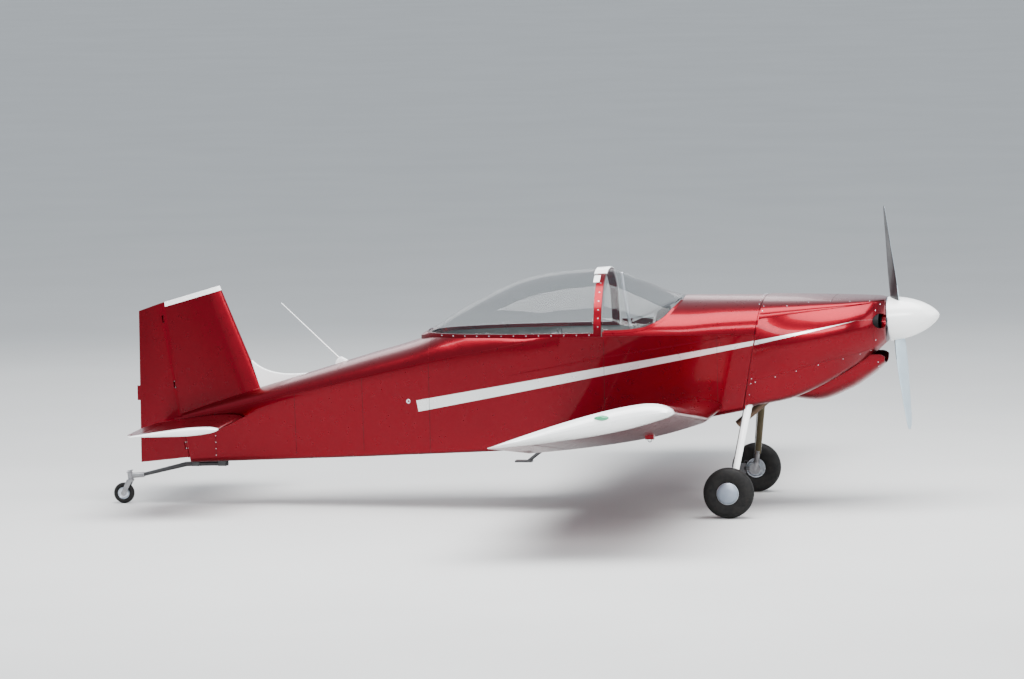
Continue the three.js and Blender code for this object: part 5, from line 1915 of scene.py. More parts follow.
def curve(points: Sequence[Point], steps: int = 12) -> list[Vector]:
    """Draws a smooth line through places given in the aircraft's millimetres.

    Args:
        points: the places.
        steps: how many pieces each stretch has.

    Returns:
        Places in metres along the line.
    """
    ends = [points[0], *points, points[-1]]
    line = []
    for a, b, c, d in zip(ends, ends[1:], ends[2:], ends[3:]):
        for t in spread(0, 1, steps)[:-1]:
            line.append(at(*(0.5 * (2 * q + (r - p) * t + (2 * p - 5 * q + 4 * r - s) * t * t
                                    + (3 * q - p - 3 * r + s) * t ** 3) for p, q, r, s in zip(a, b, c, d))))
    return [*line, at(*points[-1])]


def on_outline(outline: Shape, x: float, z: float, side: Side) -> Spot:
    """Finds the place on the side of a body at x and z.

    Args:
        outline: gives the body's outline at an x.
        x: the place along it.
        z: the height.
        side: which side of the aircraft.

    Returns:
        The place and the outward direction there.
    """
    points = [(y, h) for y, h in outline(x) if y >= 0]
    found = [(y0 + (z - z0) / (z1 - z0) * (y1 - y0), z0 - z1, y1 - y0)
             for (y0, z0), (y1, z1) in zip(points, points[1:]) if z1 <= z <= z0 and z0 != z1]
    widest = (max(y for y, _ in points), 1.0, 0.0)
    y, out, up = max(found, key=lambda place: place[0], default=widest)
    if z > (points[0][1] + points[-1][1]) / 2:
        up = abs(up)
    return at(x, side.value * y, z), Vector((0, out * side.value, up)).normalized()


def over_outline(outline: Shape, x: float, y: float) -> Spot:
    """Finds the place on the top of a body at x and y.

    Args:
        outline: gives the body's outline at an x.
        x: the place along it.
        y: the place across it.

    Returns:
        The place and the outward direction there.
    """
    points = outline(x)
    top = max(z for _, z in points)
    for (y0, z0), (y1, z1) in zip(points, points[1:]):
        if min(y0, y1) <= y <= max(y0, y1) and y0 != y1 and z0 > (points[0][1] + top) / 2:
            place = at(x, y, z0 + (y - y0) / (y1 - y0) * (z1 - z0))
            return place, Vector((0, -(z1 - z0) / (y1 - y0), 1)).normalized()
    return at(x, y, top), Vector((0, 0, 1))


@dataclass
class Trim:
    """The small things on the skins: seams, screws, rivets, ports, lights and brake pipes."""

    finishes: Finishes
    fuselage: Fuselage
    cowling: Cowling
    canopy: Canopy
    wing: Wing
    joints: Row = (-640, -1133, -1639, -2245)
    lap: tuple[Pair, ...] = ((-51, 963), (598, 1090), (1618, 1253))
    joint_screws: Row = (826, 905, 940, 1412, 1442)
    seam_screws: Row = (1686, 1825, 1971, 2122, 2290, 2404, 2476)
    high_screws: tuple[Pair, ...] = ((1906, 1442), (2051, 1462), (2198, 1468), (2336, 1464), (2470, 1462),
                                     (2540, 1436), (2512, 1190), (2512, 1400))
    screw: Pair = (4.2, 1.2)
    rivet: Pair = (1.7, 0.1)
    light: Point = (1003.0, 3160.0, 950.0)
    lens: Point = (0.052, 0.016, 0.020)
    sheet: float = 0.4

    def line(self, outline: Shape, ends: Outline, side: Side, pitch: float) -> list[Spot]:
        """Gives places at an even pitch along corners drawn in x and z on one side of a body.

        Args:
            outline: gives the body's outline at an x.
            ends: x and z of the line's corners.
            side: which side of the aircraft.
            pitch: the distance between places, in millimetres.

        Returns:
            The places with their outward directions.
        """
        spots = []
        for (x0, z0), (x1, z1) in zip(ends, ends[1:]):
            count = max(1, round(math.hypot(x1 - x0, z1 - z0) / pitch))
            for t in spread(0, 1, count)[:-1]:
                spots.append(on_outline(outline, x0 + (x1 - x0) * t, z0 + (z1 - z0) * t, side))
        return [*spots, on_outline(outline, *ends[-1], side)]

    def seams(self) -> None:
        """Lays the sheet laps along the fuselage and cowling, in their own red and as fine dark lines."""
        body, hood = self.fuselage.outline, self.cowling.outline
        laps, gaps = [], []
        for side in Side:
            corner = [(x, self.fuselage.longeron(x) + 3) for x in spread(-2560, 60, 40)]
            laps.append(strip(self.line(body, corner, side, 60), 15, 1.1))
            laps.append(strip(self.line(body, self.lap, side, 50), 7, 0.9))
            for x in self.joints:
                frame_line = ((x, self.fuselage.bottom(x) + 40), (x, self.fuselage.longeron(x) - 4))
                gaps.append(strip(self.line(body, frame_line, side, 40), 2.6, 0.35))
            gaps.append(strip(self.line(body, ((1420, 700), (1420, 1240)), side, 40), 2.2, 0.3))
            gaps.append(strip(self.line(body, ((622, 560), (622, 1225)), side, 40), 2.2, 0.3))
        gaps.append(strip([over_outline(hood, 2210, y) for y in spread(-290, 290, 40)], 2.4, 0.3))
        Piece("skin_laps", merged(laps), self.finishes.red, edge=Edge.CRISP).build()
        Piece("skin_joints", merged(gaps), self.finishes.dark, edge=Edge.CRISP).build()

    def screws(self) -> None:
        """Sets the bright screws of the cowling, the deck, the tail cone and the canopy's rail and bow."""
        body, hood = self.fuselage.outline, self.cowling.outline
        bright, sliding = [], []
        for side in Side:
            spots = [(self.fuselage.firewall(z) + 16, z) for z in self.joint_screws]
            spots += [(x, self.cowling.seam(7, x) - 13) for x in self.seam_screws]
            bright += [on_outline(hood, x, z, side) for x, z in (*spots, *self.high_screws)]
            bright += [on_outline(body, -2245, z, side) for z in spread(360, 640, 6)]
            for x in spread(-560, 520, 12):
                half = flowing(self.canopy.arches, 1, x)
                spot = at(x, side.value * (half - 0.2), rail(x) + 13)
                sliding.append((spot, Vector((0, side.value, 0))))
            for z in spread(rail(582) + 70, 1600, 5):
                y = self.arch_width(582, z)
                sliding.append((at(582, side.value * y, z), self.arch_normal(582, z, side)))
        bright += [over_outline(body, self.fuselage.firewall(1480) - 32, y) for y in spread(-300, 300, 8)]
        Piece("cowl_screws", studs(bright, *self.screw), self.finishes.alloy).build()
        Piece("canopy_screws", studs(sliding, 4.6, 1.4), self.finishes.alloy, "canopy", "alloy").build()

    def arch_width(self, x: float, z: float) -> float:
        """Gives the canopy's half-width at a height.

        Args:
            x: the place along the canopy.
            z: the height.

        Returns:
            The half-width in millimetres.
        """
        half, top = (flowing(self.canopy.arches, c, x) for c in (1, 2))
        rise = min(1.0, max(0.0, (z - rail(x)) / (top - rail(x))))
        return half * math.cos(math.asin(rise ** (1 / ARCH))) ** ARCH

    def arch_normal(self, x: float, z: float, side: Side) -> Vector:
        """Gives the outward direction of the canopy at a height."""
        slope = (self.arch_width(x, z + 5) - self.arch_width(x, z - 5)) / 10
        return Vector((0, side.value, -slope)).normalized()

    def rivets(self) -> None:
        """Sets rows of flush rivets along the frames, spars and ribs."""
        body = self.fuselage.outline
        spots = []
        for side in Side:
            for x in (-660, -1113, -1619, -2225, 640, 1400):
                frame_line = ((x, self.fuselage.bottom(x) + 50), (x, self.fuselage.longeron(x) - 20))
                spots += self.line(body, frame_line, side, 34)
            foot = [(x, self.fuselage.bottom(x) + 48) for x in spread(-2400, 200, 12)]
            spots += self.line(body, foot, side, 38)
            corner = [(x, self.fuselage.longeron(x) - 22) for x in spread(-2400, 1560, 20)]
            spots += self.line(body, corner, side, 38)
        Piece("fuselage_rivets", studs(spots, *self.rivet, 6), self.finishes.red).build()
        spots = []
        for side in Side:
            for share in (0.08, 0.3, 0.72):
                for y in spread(1225, 3020, 58):
                    spots += self.wing_spots(share, y, side)
            for y in spread(1500, 2960, 5):
                for share in spread(0.1, 0.7, 20):
                    spots += self.wing_spots(share, y, side)
        Piece("wing_rivets", studs(spots, *self.rivet, 6), self.finishes.red).build()

    def wing_spots(self, share: float, y: float, side: Side) -> list[Spot]:
        """Gives the places on the wing's upper and lower skin at a share of the chord.

        Args:
            share: the share.
            y: the place along the span.
            side: which side of the aircraft.

        Returns:
            Both places with their outward directions.
        """
        wing = self.wing
        cos, sin = math.cos(wing.tilt), math.sin(wing.tilt)
        x, _, z = wing.leading(y)
        spots = []
        for i, sign in ((0, 1), (1, -1)):
            height = wing.heights(share)[i]
            slope = (wing.heights(share + 0.01)[i] - wing.heights(share - 0.01)[i]) / 0.02
            back, up = share * wing.chord, height * wing.chord
            place = at(x - back * cos - up * sin, side.value * y, z - back * sin + up * cos)
            lean = Vector((slope * cos - sin, 0, cos + slope * sin)) * sign
            lean.y = -side.value * lean.z * (wing.tip[2] - wing.root[2]) / (wing.tip[1] - wing.break_y)
            spots.append((place, lean.normalized()))
        return spots

    def lights(self) -> None:
        """Adds the teardrop navigation lights at the wing tips."""
        for side in Side:
            lens = bmesh.new()
            bmesh.ops.create_uvsphere(lens, u_segments=32, v_segments=20, radius=1.0)
            for vert in lens.verts:
                taper = 1.0 if vert.co.x > 0 else 1 - 0.55 * abs(vert.co.x)
                vert.co = Vector((vert.co.x * self.lens[0], vert.co.y * self.lens[1] * taper,
                                  vert.co.z * self.lens[2] * taper))
            x, y, z = self.light[0], side.value * self.light[1], self.light[2]
            bmesh.ops.translate(lens, vec=at(x, y, z), verts=lens.verts[:])
            glow = self.finishes.red_lens if side is Side.LEFT else self.finishes.green_lens
            Piece(f"nav_light_{side.word}", lens, glow, edge=Edge.SMOOTH).build()
            near, far = sorted((y, y - side.value * 22))
            foot = box_mesh((x - 44, near, z - 12), (x + 40, far, z + 12))
            Piece(f"nav_light_foot_{side.word}", foot, self.finishes.white,
                  bevel=0.004).build()

    def ports(self) -> None:
        """Adds the ringed static port on each side, and the tie-down rings."""
        ring = ((7, -1), (16, -1), (16, 0.8), (14, 1.6), (9, 1.6), (7, 0.8))
        rings = [spun_mesh(ring, *on_outline(self.fuselage.outline, -792, 774, side), 32) for side in Side]
        Piece("static_ports", merged(rings), self.finishes.alloy).build()
        rings = []
        for side in Side:
            centre = at(1100, side.value * 1600, 634)
            path = [centre + Vector((math.cos(t) * 0.013, 0, math.sin(t) * 0.013))
                    for t in spread(0, math.tau, 24)]
            rings.append(tube(path, 3.0, 8))
        Piece("tie_down_rings", merged(rings), self.finishes.steel, edge=Edge.SMOOTH).build()

    def over_bow(self, stations: Sequence[float], start: float, end: float, lift: float) -> Mesh:
        """Lays a thin cover over the canopy's bow.

        Args:
            stations: where its rows stand.
            start: its first angle round the arch, as a share of half a turn.
            end: its last angle, as a share of half a turn.
            lift: how far it stands out, in millimetres.

        Returns:
            The closed cover.
        """
        rows = []
        for x in stations:
            held = min(x, self.canopy.arches[0][0])
            half, high = (flowing(self.canopy.arches, c, held) for c in (1, 2))
            high -= (x - held) * 0.42
            row = []
            for rise in (self.sheet, lift):
                ring = [at(x, *arch(math.pi * t, half + rise, rail(held), high + rise))
                        for t in spread(start, end, 20)]
                row += ring if rise == self.sheet else ring[::-1]
            rows.append(row)
        return closed_mesh(rows)

    def latch(self) -> None:
        """Adds the canopy's white latch cover on the bow, its side strips and the handle inside."""
        covers = [self.over_bow((521, 545, 575, 604, 612), 0.38, 0.62, 7.0),
                  self.over_bow((528, 550, 572), 0.30, 0.36, 5.0),
                  self.over_bow((528, 550, 572), 0.64, 0.70, 5.0)]
        Piece("latch_covers", merged(covers), self.finishes.white, "canopy", "white_paint",
              edge=Edge.PANEL).build()
        top = flowing(self.canopy.arches, 2, 582) - 26
        handle = tube(curve([(575, -60, top), (560, -56, top - 34), (556, 0, top - 40), (560, 56, top - 34),
                             (575, 60, top)]), 5, 12)
        Piece("canopy_handle", handle, self.finishes.alloy, "canopy", "alloy", edge=Edge.SMOOTH).build()

    def pipes(self) -> None:
        """Runs the brake pipes down the back of the legs."""
        pipes = []
        for side in Side:
            route = []
            for share in (0.1, 0.3, 0.5, 0.7, 0.88, 0.96):
                x, y, z = (a + (b - a) * share for a, b in zip(MainGear.top, MainGear.foot))
                route.append((x - (27 - 6 * share) - 4, side.value * y, z))
            route += [(1494, side.value * 702, 222), (1462, side.value * 711, 232),
                      (1450, side.value * 711, 212)]
            pipes.append(tube(curve(route), 3.2, 8))
        Piece("brake_pipes", merged(pipes), self.finishes.black, edge=Edge.SMOOTH).build()

    def build(self) -> None:
        """Builds every small thing on the skins."""
        self.seams()
        self.screws()
        self.rivets()
        self.lights()
        self.ports()
        self.latch()
        self.pipes()


@dataclass
class Cabin:
    """The padded seats with their belts, the instruments, the windscreen's brace and the controls."""

    finishes: Finishes
    seat_y: float = 212.0
    seat_half: float = 172.0
    pan: tuple[Pair, ...] = ((292, 794), (630, 868), (664, 908), (303, 866))
    back: tuple[Pair, ...] = ((247, 806), (296, 866), (183, 1218), (130, 1206))
    panel_foot: Pair = (952.0, 1120.0)
    panel_head: Pair = (968.0, 1410.0)
    flight_dials: tuple[Row, Row] = ((330, 240, 150), (1305, 1212))
    engine_dials: tuple[Row, Row] = ((-170, -240, -310), (1318, 1250, 1182))
    radio_rows: tuple[Pair, ...] = ((1322, 40), (1272, 46), (1218, 46), (1172, 34))
    knob: tuple[Pair, ...] = ((0, 7), (9, 7), (9, 20), (7.5, 22), (0, 22))
    switch: tuple[Pair, ...] = ((0, 0), (5, 0), (5, 5), (2.2, 5), (3.2, 17), (0, 18))
    switch_row: float = 1138.0
    grip: tuple[Pair, ...] = ((0, -8), (17, -8), (21, 0), (20, 22), (18, 48), (20, 78), (19, 100), (12, 110),
                              (0, 112))
    pedals: Row = (300, 130, -130, -300)
    brace_line: tuple[Point, ...] = ((690, 0, 1652), (700, 0, 1560), (716, 0, 1440), (742, 0, 1300),
                                     (790, 0, 1120), (815, 0, 860))
    edge_thinning: float = 0.35
    voxel: float = 0.006
    pressure: float = 4.0
    puffs: int = 20
    seams_across: Row = (-88.0, 0.0, 88.0)
    seams_along: Row = (0.36, 0.68)
    seam_width: float = 5.0
    seam_depth: float = 0.0055
    padding: float = 0.018

    def pad(self, outline: Outline) -> Mesh:
        """Makes a cushion's slack form from its four corners in x and z.

        Args:
            outline: the corners of its side view, in order.

        Returns:
            The closed form, a little smaller than the stuffed cushion.
        """
        ring = [(x0 + (x1 - x0) * t, z0 + (z1 - z0) * t)
                for (x0, z0), (x1, z1) in (outline[:2], outline[2:]) for t in spread(0.03, 0.97, 24)]
        middle = (sum(x for x, _ in ring) / len(ring), sum(z for _, z in ring) / len(ring))
        across = (outline[1][0] - outline[0][0], outline[1][1] - outline[0][1])
        length = math.hypot(*across)
        normal = (-across[1] / length, across[0] / length)
        rows = []
        for y in spread(-self.seat_half, self.seat_half, 24):
            edge = 1 - abs(y / self.seat_half) ** 6 * self.edge_thinning
            row = []
            for x, z in ring:
                high = (x - middle[0]) * normal[0] + (z - middle[1]) * normal[1]
                pressed = high * (1 - edge)
                row.append(at(x - normal[0] * pressed, self.seat_y + y, z - normal[1] * pressed))
            rows.append(row)
        return closed_mesh(rows)

    def stuffed(self, bm: Mesh, cap: float) -> Mesh:
        """Swells a cushion as air in cloth does, with a limit on how far a point moves.

        Args:
            bm: the slack form, freed here.
            cap: the limit, in metres.

        Returns:
            The swollen form.
        """
        data = bpy.data.meshes.new("pad_work")
        bm.to_mesh(data)
        bm.free()
        work = bpy.data.objects.new("pad_work", data)
        bpy.context.scene.collection.objects.link(work)
        remesh = work.modifiers.new("even", "REMESH")
        remesh.mode = "VOXEL"
        remesh.voxel_size = self.voxel
        data = self.baked(work)
        before = [vert.co.copy() for vert in data.vertices]
        cloth = work.modifiers.new("swell", "CLOTH")
        cloth.settings.use_pressure = True
        cloth.settings.uniform_pressure_force = self.pressure
        cloth.settings.effector_weights.gravity = 0.0
        cloth.point_cache.frame_end = self.puffs
        for step in range(1, self.puffs + 1):
            bpy.context.scene.frame_set(step)
        data = self.baked(work)
        for vert, place in zip(data.vertices, before):
            move = vert.co - place
            if move.length > cap:
                vert.co = place + move.normalized() * cap
        bpy.context.scene.frame_set(1)
        swollen = bmesh.new()
        swollen.from_mesh(data)
        bpy.data.objects.remove(work)
        return swollen

    def baked(self, work: Object) -> bpy.types.Mesh:
        """Replaces an object's mesh by what its modifiers make of it, and gives that mesh.

        Args:
            work: the object.

        Returns:
            The new mesh.
        """
        graph = bpy.context.evaluated_depsgraph_get()
        data = bpy.data.meshes.new_from_object(work.evaluated_get(graph))
        work.modifiers.clear()
        work.data = data
        return data

    def channelled(self, bm: Mesh, outline: Outline) -> Mesh:
        """Presses sewn channels into a cushion's face.

        Args:
            bm: the cushion, changed here.
            outline: the corners of its side view.

        Returns:
            The same mesh.
        """
        (cx, cz), (dx, dz) = outline[2:]
        along = Vector((cx - dx, 0, cz - dz)).normalized()
        out = Vector((-along.z, 0, along.x))
        face = at(dx, 0, dz).dot(out)
        start, length = at(dx, 0, dz).dot(along), math.hypot(cx - dx, cz - dz) * MM
        for vert in bm.verts:
            height = vert.co.dot(out) - face
            if height < -self.padding:
                continue
            share = (vert.co.dot(along) - start) / length
            away = [vert.co.y / MM - self.seat_y - y for y in self.seams_across]
            away += [(share - s) * length / MM for s in self.seams_along]
            press = max(math.exp(-(distance / self.seam_width) ** 2) for distance in away)
            vert.co -= out * press * self.seam_depth
        return bm

    def seats(self) -> None:
        """Builds the four cushions and lays the belts over them."""
        for name, outline, cap in (("cushion", self.pan, 0.012), ("backrest", self.back, 0.011)):
            left = self.channelled(self.stuffed(self.pad(outline), cap), outline)
            for side in Side:
                nodes = (f"seat_{side.word}",) if name == "cushion" else ()
                piece = Piece(f"seat_{name}_{side.word}", side.handed(left), self.finishes.cloth,
                              replaces=nodes, edge=Edge.SMOOTH, levels=1).build()
            left.free()
        belts, buckles = [], []
        up = Vector((0.21, 0, 0.98))
        ahead = Vector((0.95, 0, 0.31))
        for side in Side:
            middle = side.value * self.seat_y
            for lean in (-1, 1):
                lap = [(at(330 + 26 * t, middle + lean * (172 - 150 * t), 870 + 34 * math.sin(t * math.pi / 2)
                           + 12 * math.sin(t * math.pi)), up) for t in spread(0, 1, 14)]
                belts.append(strip(lap, 44, 2.4))
                shoulder = [(at(200 + 128 * t - 12 * math.sin(t * math.pi), middle + lean * (78 - 56 * t),
                                1236 - 330 * t), ahead) for t in spread(0, 1, 18)]
                belts.append(strip(shoulder, 40, 2.4))
            buckles.append(box_mesh((334, middle - 30, 903), (384, middle + 30, 921)))
        Piece("seat_belts", merged(belts), self.finishes.black, slot="cloth", edge=Edge.CRISP).build()
        Piece("belt_buckles", merged(buckles), self.finishes.alloy, bevel=0.004).build()

    def on_panel(self, y: float, z: float) -> Spot:
        """Gives the place on the panel's face towards the seats, and the direction out of it.

        Args:
            y: the place across.
            z: the height.

        Returns:
            The place and the direction.
        """
        (x0, z0), (x1, z1) = self.panel_foot, self.panel_head
        out = Vector((z0 - z1, 0, x1 - x0)).normalized()
        return at(on_line(z, (z0, x0), (z1, x1)), y, z), out

    def instruments(self) -> None:
        """Fits the panel's dials, radios, knobs and switches."""
        self.dials()
        self.radios()

    def dials(self) -> None:
        """Fits the flight instruments on the left and the smaller engine instruments on the right."""
        bezels, faces, marks = [], [], []
        places = [(y, z, 39.0) for z in self.flight_dials[1] for y in self.flight_dials[0]]
        places += [(y, z, 29.0) for z in self.engine_dials[1] for y in self.engine_dials[0]]
        for y, z, radius in places:
            place, out = self.on_panel(y, z)
            bezels.append(spun_mesh(((radius - 5, 0), (radius + 2, 0), (radius + 2, 4), (radius, 7),
                                     (radius - 4, 7), (radius - 5, 4)), place, out, 40))
            faces.append(spun_mesh(((0, 0), (radius - 4, 0), (radius - 4, 3.4), (0, 3.4)), place, out, 40))
            side = out.cross(Vector((0, 1, 0))).normalized()
            for degrees in spread(-40, 194, 9):
                turn = math.radians(degrees)
                line = Vector((0, 1, 0)) * math.cos(turn) + side * math.sin(turn)
                first = place + out * 3.6 * MM + line * (radius - 13) * MM
                marks.append(strip([(first, out), (first + line * 6 * MM, out)], 1.6, 0.5))
            hand = Vector((0, 1, 0)) * math.cos(y * 0.7) + side * math.sin(y * 0.7)
            marks.append(strip([(place + out * 4.2 * MM - hand * 5 * MM, out),
                                (place + out * 4.2 * MM + hand * (radius - 13) * MM, out)], 2.0, 0.6))
        Piece("dial_bezels", merged(bezels), self.finishes.black, bevel=0.0006).build()
        Piece("dial_faces", merged(faces), self.finishes.dark).build()
        Piece("dial_marks", merged(marks), self.finishes.white).build()

    def radios(self) -> None:
        """Fits the stack of radios with their knobs, and the row of switches under them."""
        boxes, knobs = [], []
        for z, tall in self.radio_rows:
            low, high = z - tall / 2, z + tall / 2
            face = self.on_panel(70, low)[0].x / MM - SHIFT
            boxes.append(box_mesh((face - 9, -60, low), (face + 6, 100, high)))
            for y in (-42, 82):
                place, out = self.on_panel(y, z)
                knobs.append(spun_mesh(self.knob, place, out, 20))
        for y in spread(-100, 100, 9):
            place, out = self.on_panel(y, self.switch_row)
            knobs.append(spun_mesh(self.switch, place, out, 14))
        Piece("radio_boxes", merged(boxes), self.finishes.black, bevel=0.002).build()
        Piece("panel_knobs", merged(knobs), self.finishes.alloy).build()

    def brace(self) -> None:
        """Adds the pale tube that braces the windscreen's top, on the centre line."""
        Piece("screen_brace", tube(curve(self.brace_line), 11, 20), self.finishes.alloy,
              edge=Edge.SMOOTH).build()

    def controls(self) -> None:
        """Adds the grips of the sticks and the rudder pedals."""
        bars, grips = [], []
        for y in self.pedals:
            bars.append(rod_mesh(at(1440, y - 40, 985), at(1440, y + 40, 985), 0.009, sides=16))
            bars.append(rod_mesh(at(1440, y, 985), at(1475, y, 880), 0.008, sides=16))
        bars.append(rod_mesh(at(1475, -360, 880), at(1475, 360, 880), 0.010, sides=16))
        for side in Side:
            y = side.value * self.seat_y
            foot, head = at(800, y, 1032), at(806, y, 1140)
            grips.append(spun_mesh(self.grip, foot, (head - foot).normalized(), 28))
        Piece("rudder_pedals", merged(bars), self.finishes.alloy, bevel=0.001).build()
        Piece("stick_grips", merged(grips), self.finishes.black, edge=Edge.PANEL).build()

    def build(self) -> None:
        """Builds everything in the cabin."""
        self.seats()
        self.instruments()
        self.brace()
        self.controls()


@dataclass
class TailWheel:
    """The tail spring with its socket, and the small wheel."""

    finishes: Finishes
    fuselage: Fuselage
    centre: Point = (-2950.0, 0.0, 75.0)
    spring_end: Point = (-2806.0, 0.0, 207.0)
    tyre: tuple[Pair, ...] = (
        (43, 19), (47, 21.5), (51, 23.2), (56, 24), (61, 23.4), (65.5, 21.6), (69, 18.6), (72, 14), (74.3, 8),
        (75, 3), (75, 0))
    hub: tuple[Pair, ...] = (
        (7.3, 28), (14, 28), (16, 26.5), (18, 18), (21, 14), (28, 12.6), (35, 12.4), (39, 14.5), (42.7, 20))

    def swivel(self, z: float) -> Vector:
        """Gives the place on the fork's leaning axis at a height."""
        return at(-2902 - 0.12 * (z - 197), 0, z)

    def build(self) -> None:
        """Builds the spring, its socket, the tyre and the hub."""
        steel, black = self.finishes.steel, self.finishes.black
        knee = (-2487.0, 0.0, 284.0)
        body = self.fuselage.body(-2560, -2100, -0.5)
        clamps = [carved(box_mesh(low, high), body.copy())
                  for low, high in (((-2250, -30, 272), (-2190, 30, 330)),
                                    ((-2440, -24, 270), (-2390, 24, 330)))]
        body.free()
        rods = [rod_mesh(at(-2180, 0, 290), at(*knee), 0.017, sides=32),
                rod_mesh(at(*knee), at(*self.spring_end), 0.017, 0.013, 32)]
        Piece("tail_spring_rod", merged([*rods, *clamps]), black, slot="steel", replaces=("tail_spring",),
              bevel=0.0012).build()
        socket = carved(rod_mesh(at(-2800, 0, 207), at(-2885, 0, 201), 0.019, sides=36),
                        rod_mesh(self.swivel(180), self.swivel(220), 0.021, sides=36), how=Cut.JOIN)
        socket = carved(socket, rod_mesh(self.swivel(100), self.swivel(300), 0.0093, sides=24))
        bolt = rod_mesh(at(-2822, -24, 206), at(-2822, 24, 206), 0.005, sides=6)
        Piece("tail_spring_socket", merged([socket, bolt]), steel, bevel=0.0008).build()
        middle, out = at(*self.centre), Vector((0, 1, 0))
        Piece("tail_tyre_rubber", spun_mesh(both_faces(self.tyre), middle, out, 72), self.finishes.rubber,
              "tail_wheel", "tyre_rubber", ("tail_tyre",), edge=Edge.PANEL).build()
        Piece("tail_hub_turned", spun_mesh(both_faces(self.hub), middle, out, 60), self.finishes.alloy,
              "tail_wheel", "alloy", ("tail_hub",)).build()


@dataclass
class Fittings:
    """The chin scoop, exhaust pipes, antenna, screen strip, a black block of painted shade under the belly
    and near-black plugs of painted shade in the cowling inlets.
    """

    finishes: Finishes
    fuselage: Fuselage
    cowling: Cowling
    canopy: Canopy
    scoop_frames: tuple[Row, ...] = (
        (1900, 768, 150, 830), (2076, 748, 178, 900), (2317, 829, 190, 1010), (2440, 905, 184, 1080),
        (2530, 975, 172, 1082), (2564, 1010, 160, 1064))
    pipe: tuple[Point, ...] = ((2030.0, 175.0, 1185.0), (2000.0, 175.0, 980.0), (1740.0, 160.0, 768.0),
                               (1522.0, 150.0, 588.0))

    def scoop_ring(self, x: float, wall: float, lift: float) -> list[Vector]:
        """Gives the chin scoop's section at x, set in by a wall and raised at its open side.

        Args:
            x: the place along the scoop.
            wall: how far it is set in.
            lift: how much higher its open side is.

        Returns:
            Its points.
        """
        bottom, half, top = (flowing(self.scoop_frames, c, x) for c in (1, 2, 3))
        points = []
        for i in range(45):
            turn = math.pi + i / 44 * math.pi
            drop = (top + lift - bottom - wall) * abs(math.sin(turn)) ** 0.6
            points.append(at(x, (half - wall) * math.cos(turn), top + lift - drop))
        return points

    def scoop(self) -> None:
        """Builds the chin scoop with its thin wall, open at its mouth."""
        stations = spread(1900, 2564, 32)
        outer = closed_mesh([self.scoop_ring(x, 0, 0) for x in stations])
        rows = [self.scoop_ring(x, 8, 6) for x in stations]
        rows[0] = [p + Vector((-0.003, 0, 0)) for p in rows[0]]
        rows[-1] = [p + Vector((0.004, 0, 0)) for p in rows[-1]]
        stations = [*spread(1700, 2440, 22), *spread(2440, 2574, 8)[1:]]
        hood = ring_body([(x, self.cowling.outline(x)) for x in stations])
        shell = carved(outer, closed_mesh(rows), hood)
        Piece("chin_scoop_shell", shell, self.finishes.red, replaces=("chin_scoop",), bevel=0.0015).build()
        heads = []
        for side in Side:
            for share in (0.2, 0.5, 0.8):
                ring = self.scoop_ring(2520, 0, 0)
                k = round(len(ring) * (share * 0.35 + 0.02))
                place = ring[k] if side is Side.RIGHT else ring[-1 - k]
                heads.append((place, Vector((0, place.y, place.z - 1.03)).normalized()))
        Piece("scoop_screws", studs(heads, 4.2, 1.4), self.finishes.alloy).build()

    def exhaust(self) -> None:
        """Builds the two exhaust pipes with open, square-cut ends."""
        for side in Side:
            points = [(x, side.value * y, z) for x, y, z in self.pipe]
            line = [at(*points[0]), *curve(points[1:3], 4)[:-1], at(*points[2]), at(*points[3])]
            last = line[-1] - line[-2]
            bore = tube([line[-2] + last * 0.2, line[-1] + last * 0.1], 24.5, 36)
            Piece(f"exhaust_{side.word}_pipe", carved(tube(line, 27, 36), bore), self.finishes.burnt,
                  replaces=(f"exhaust_{side.word}",), bevel=0.0006).build()

    def antenna(self) -> None:
        """Builds the whip antenna on its streamlined foot."""
        rows = []
        for z, start, end, half in ((1000, -1262, -1388, 9), (1018, -1276, -1384, 9), (1036, -1300, -1374, 8),
                                    (1050, -1326, -1362, 6), (1056, -1336, -1354, 3)):
            row = []
            for turn in turns(24):
                x = (start + end) / 2 + (start - end) / 2 * math.cos(turn)
                row.append(at(x, half * math.sin(turn), z))
            rows.append(row)
        whip = rod_mesh(at(-1338, 0, 1030), at(-1770, 0, 1442), 0.005, 0.0025, 16)
        parts = [carved(part, self.fuselage.body(-1500, -1150, -0.5)) for part in (closed_mesh(rows), whip)]
        Piece("antenna_whip", merged(parts), self.finishes.white, replaces=("antenna",)).build()

    def screen_strip(self) -> None:
        """Lays the red strip that seals the windscreen's foot."""
        half = []
        for x in spread(622, 1146, 40):
            wide, high = (flowing(self.canopy.screen_arches, c, x) for c in (1, 2))
            for i in range(400):
                y, z = arch(math.pi / 2 * (1 - i / 400), wide, rail(x), high)
                skin, normal = over_outline(self.fuselage.outline, x, y)
                if z * MM <= skin.z + 0.0005:
                    half.append((at(x, y, skin.z / MM), (normal + Vector((0.35, 0.25, 0.2))).normalized()))
                    break
        flip = [(Vector((p.x, -p.y, p.z)), Vector((n.x, -n.y, n.z))) for p, n in reversed(half)]
        Piece("screen_strip", strip([*half, *flip], 24, 2.6), self.finishes.red, edge=Edge.CRISP).build()

    def ducts(self) -> None:
        """Fills the two cooling inlets with near-black plugs: painted shade that closes the view into the
        cowling behind them.
        """
        y, z, wide, tall = self.cowling.inlet
        liners = []
        for side in Side:
            rows, inner = [], []
            for depth, grow in ((2535, 0.985), (2470, 0.93), (2400, 0.86)):
                middle = at(depth, side.value * y, z)
                row = [at(depth, side.value * y + math.cos(t) * wide * grow * 0.98,
                          z + math.sin(t) * tall * grow) for t in spread(0, math.tau, 40)[:-1]]
                rows.append(row)
                inner.append([p + (middle - p) * 0.05 for p in row])
            liners.append(closed_mesh([*rows, *reversed(inner)]))
        Piece("inlet_ducts", merged(liners), self.finishes.dark).build()

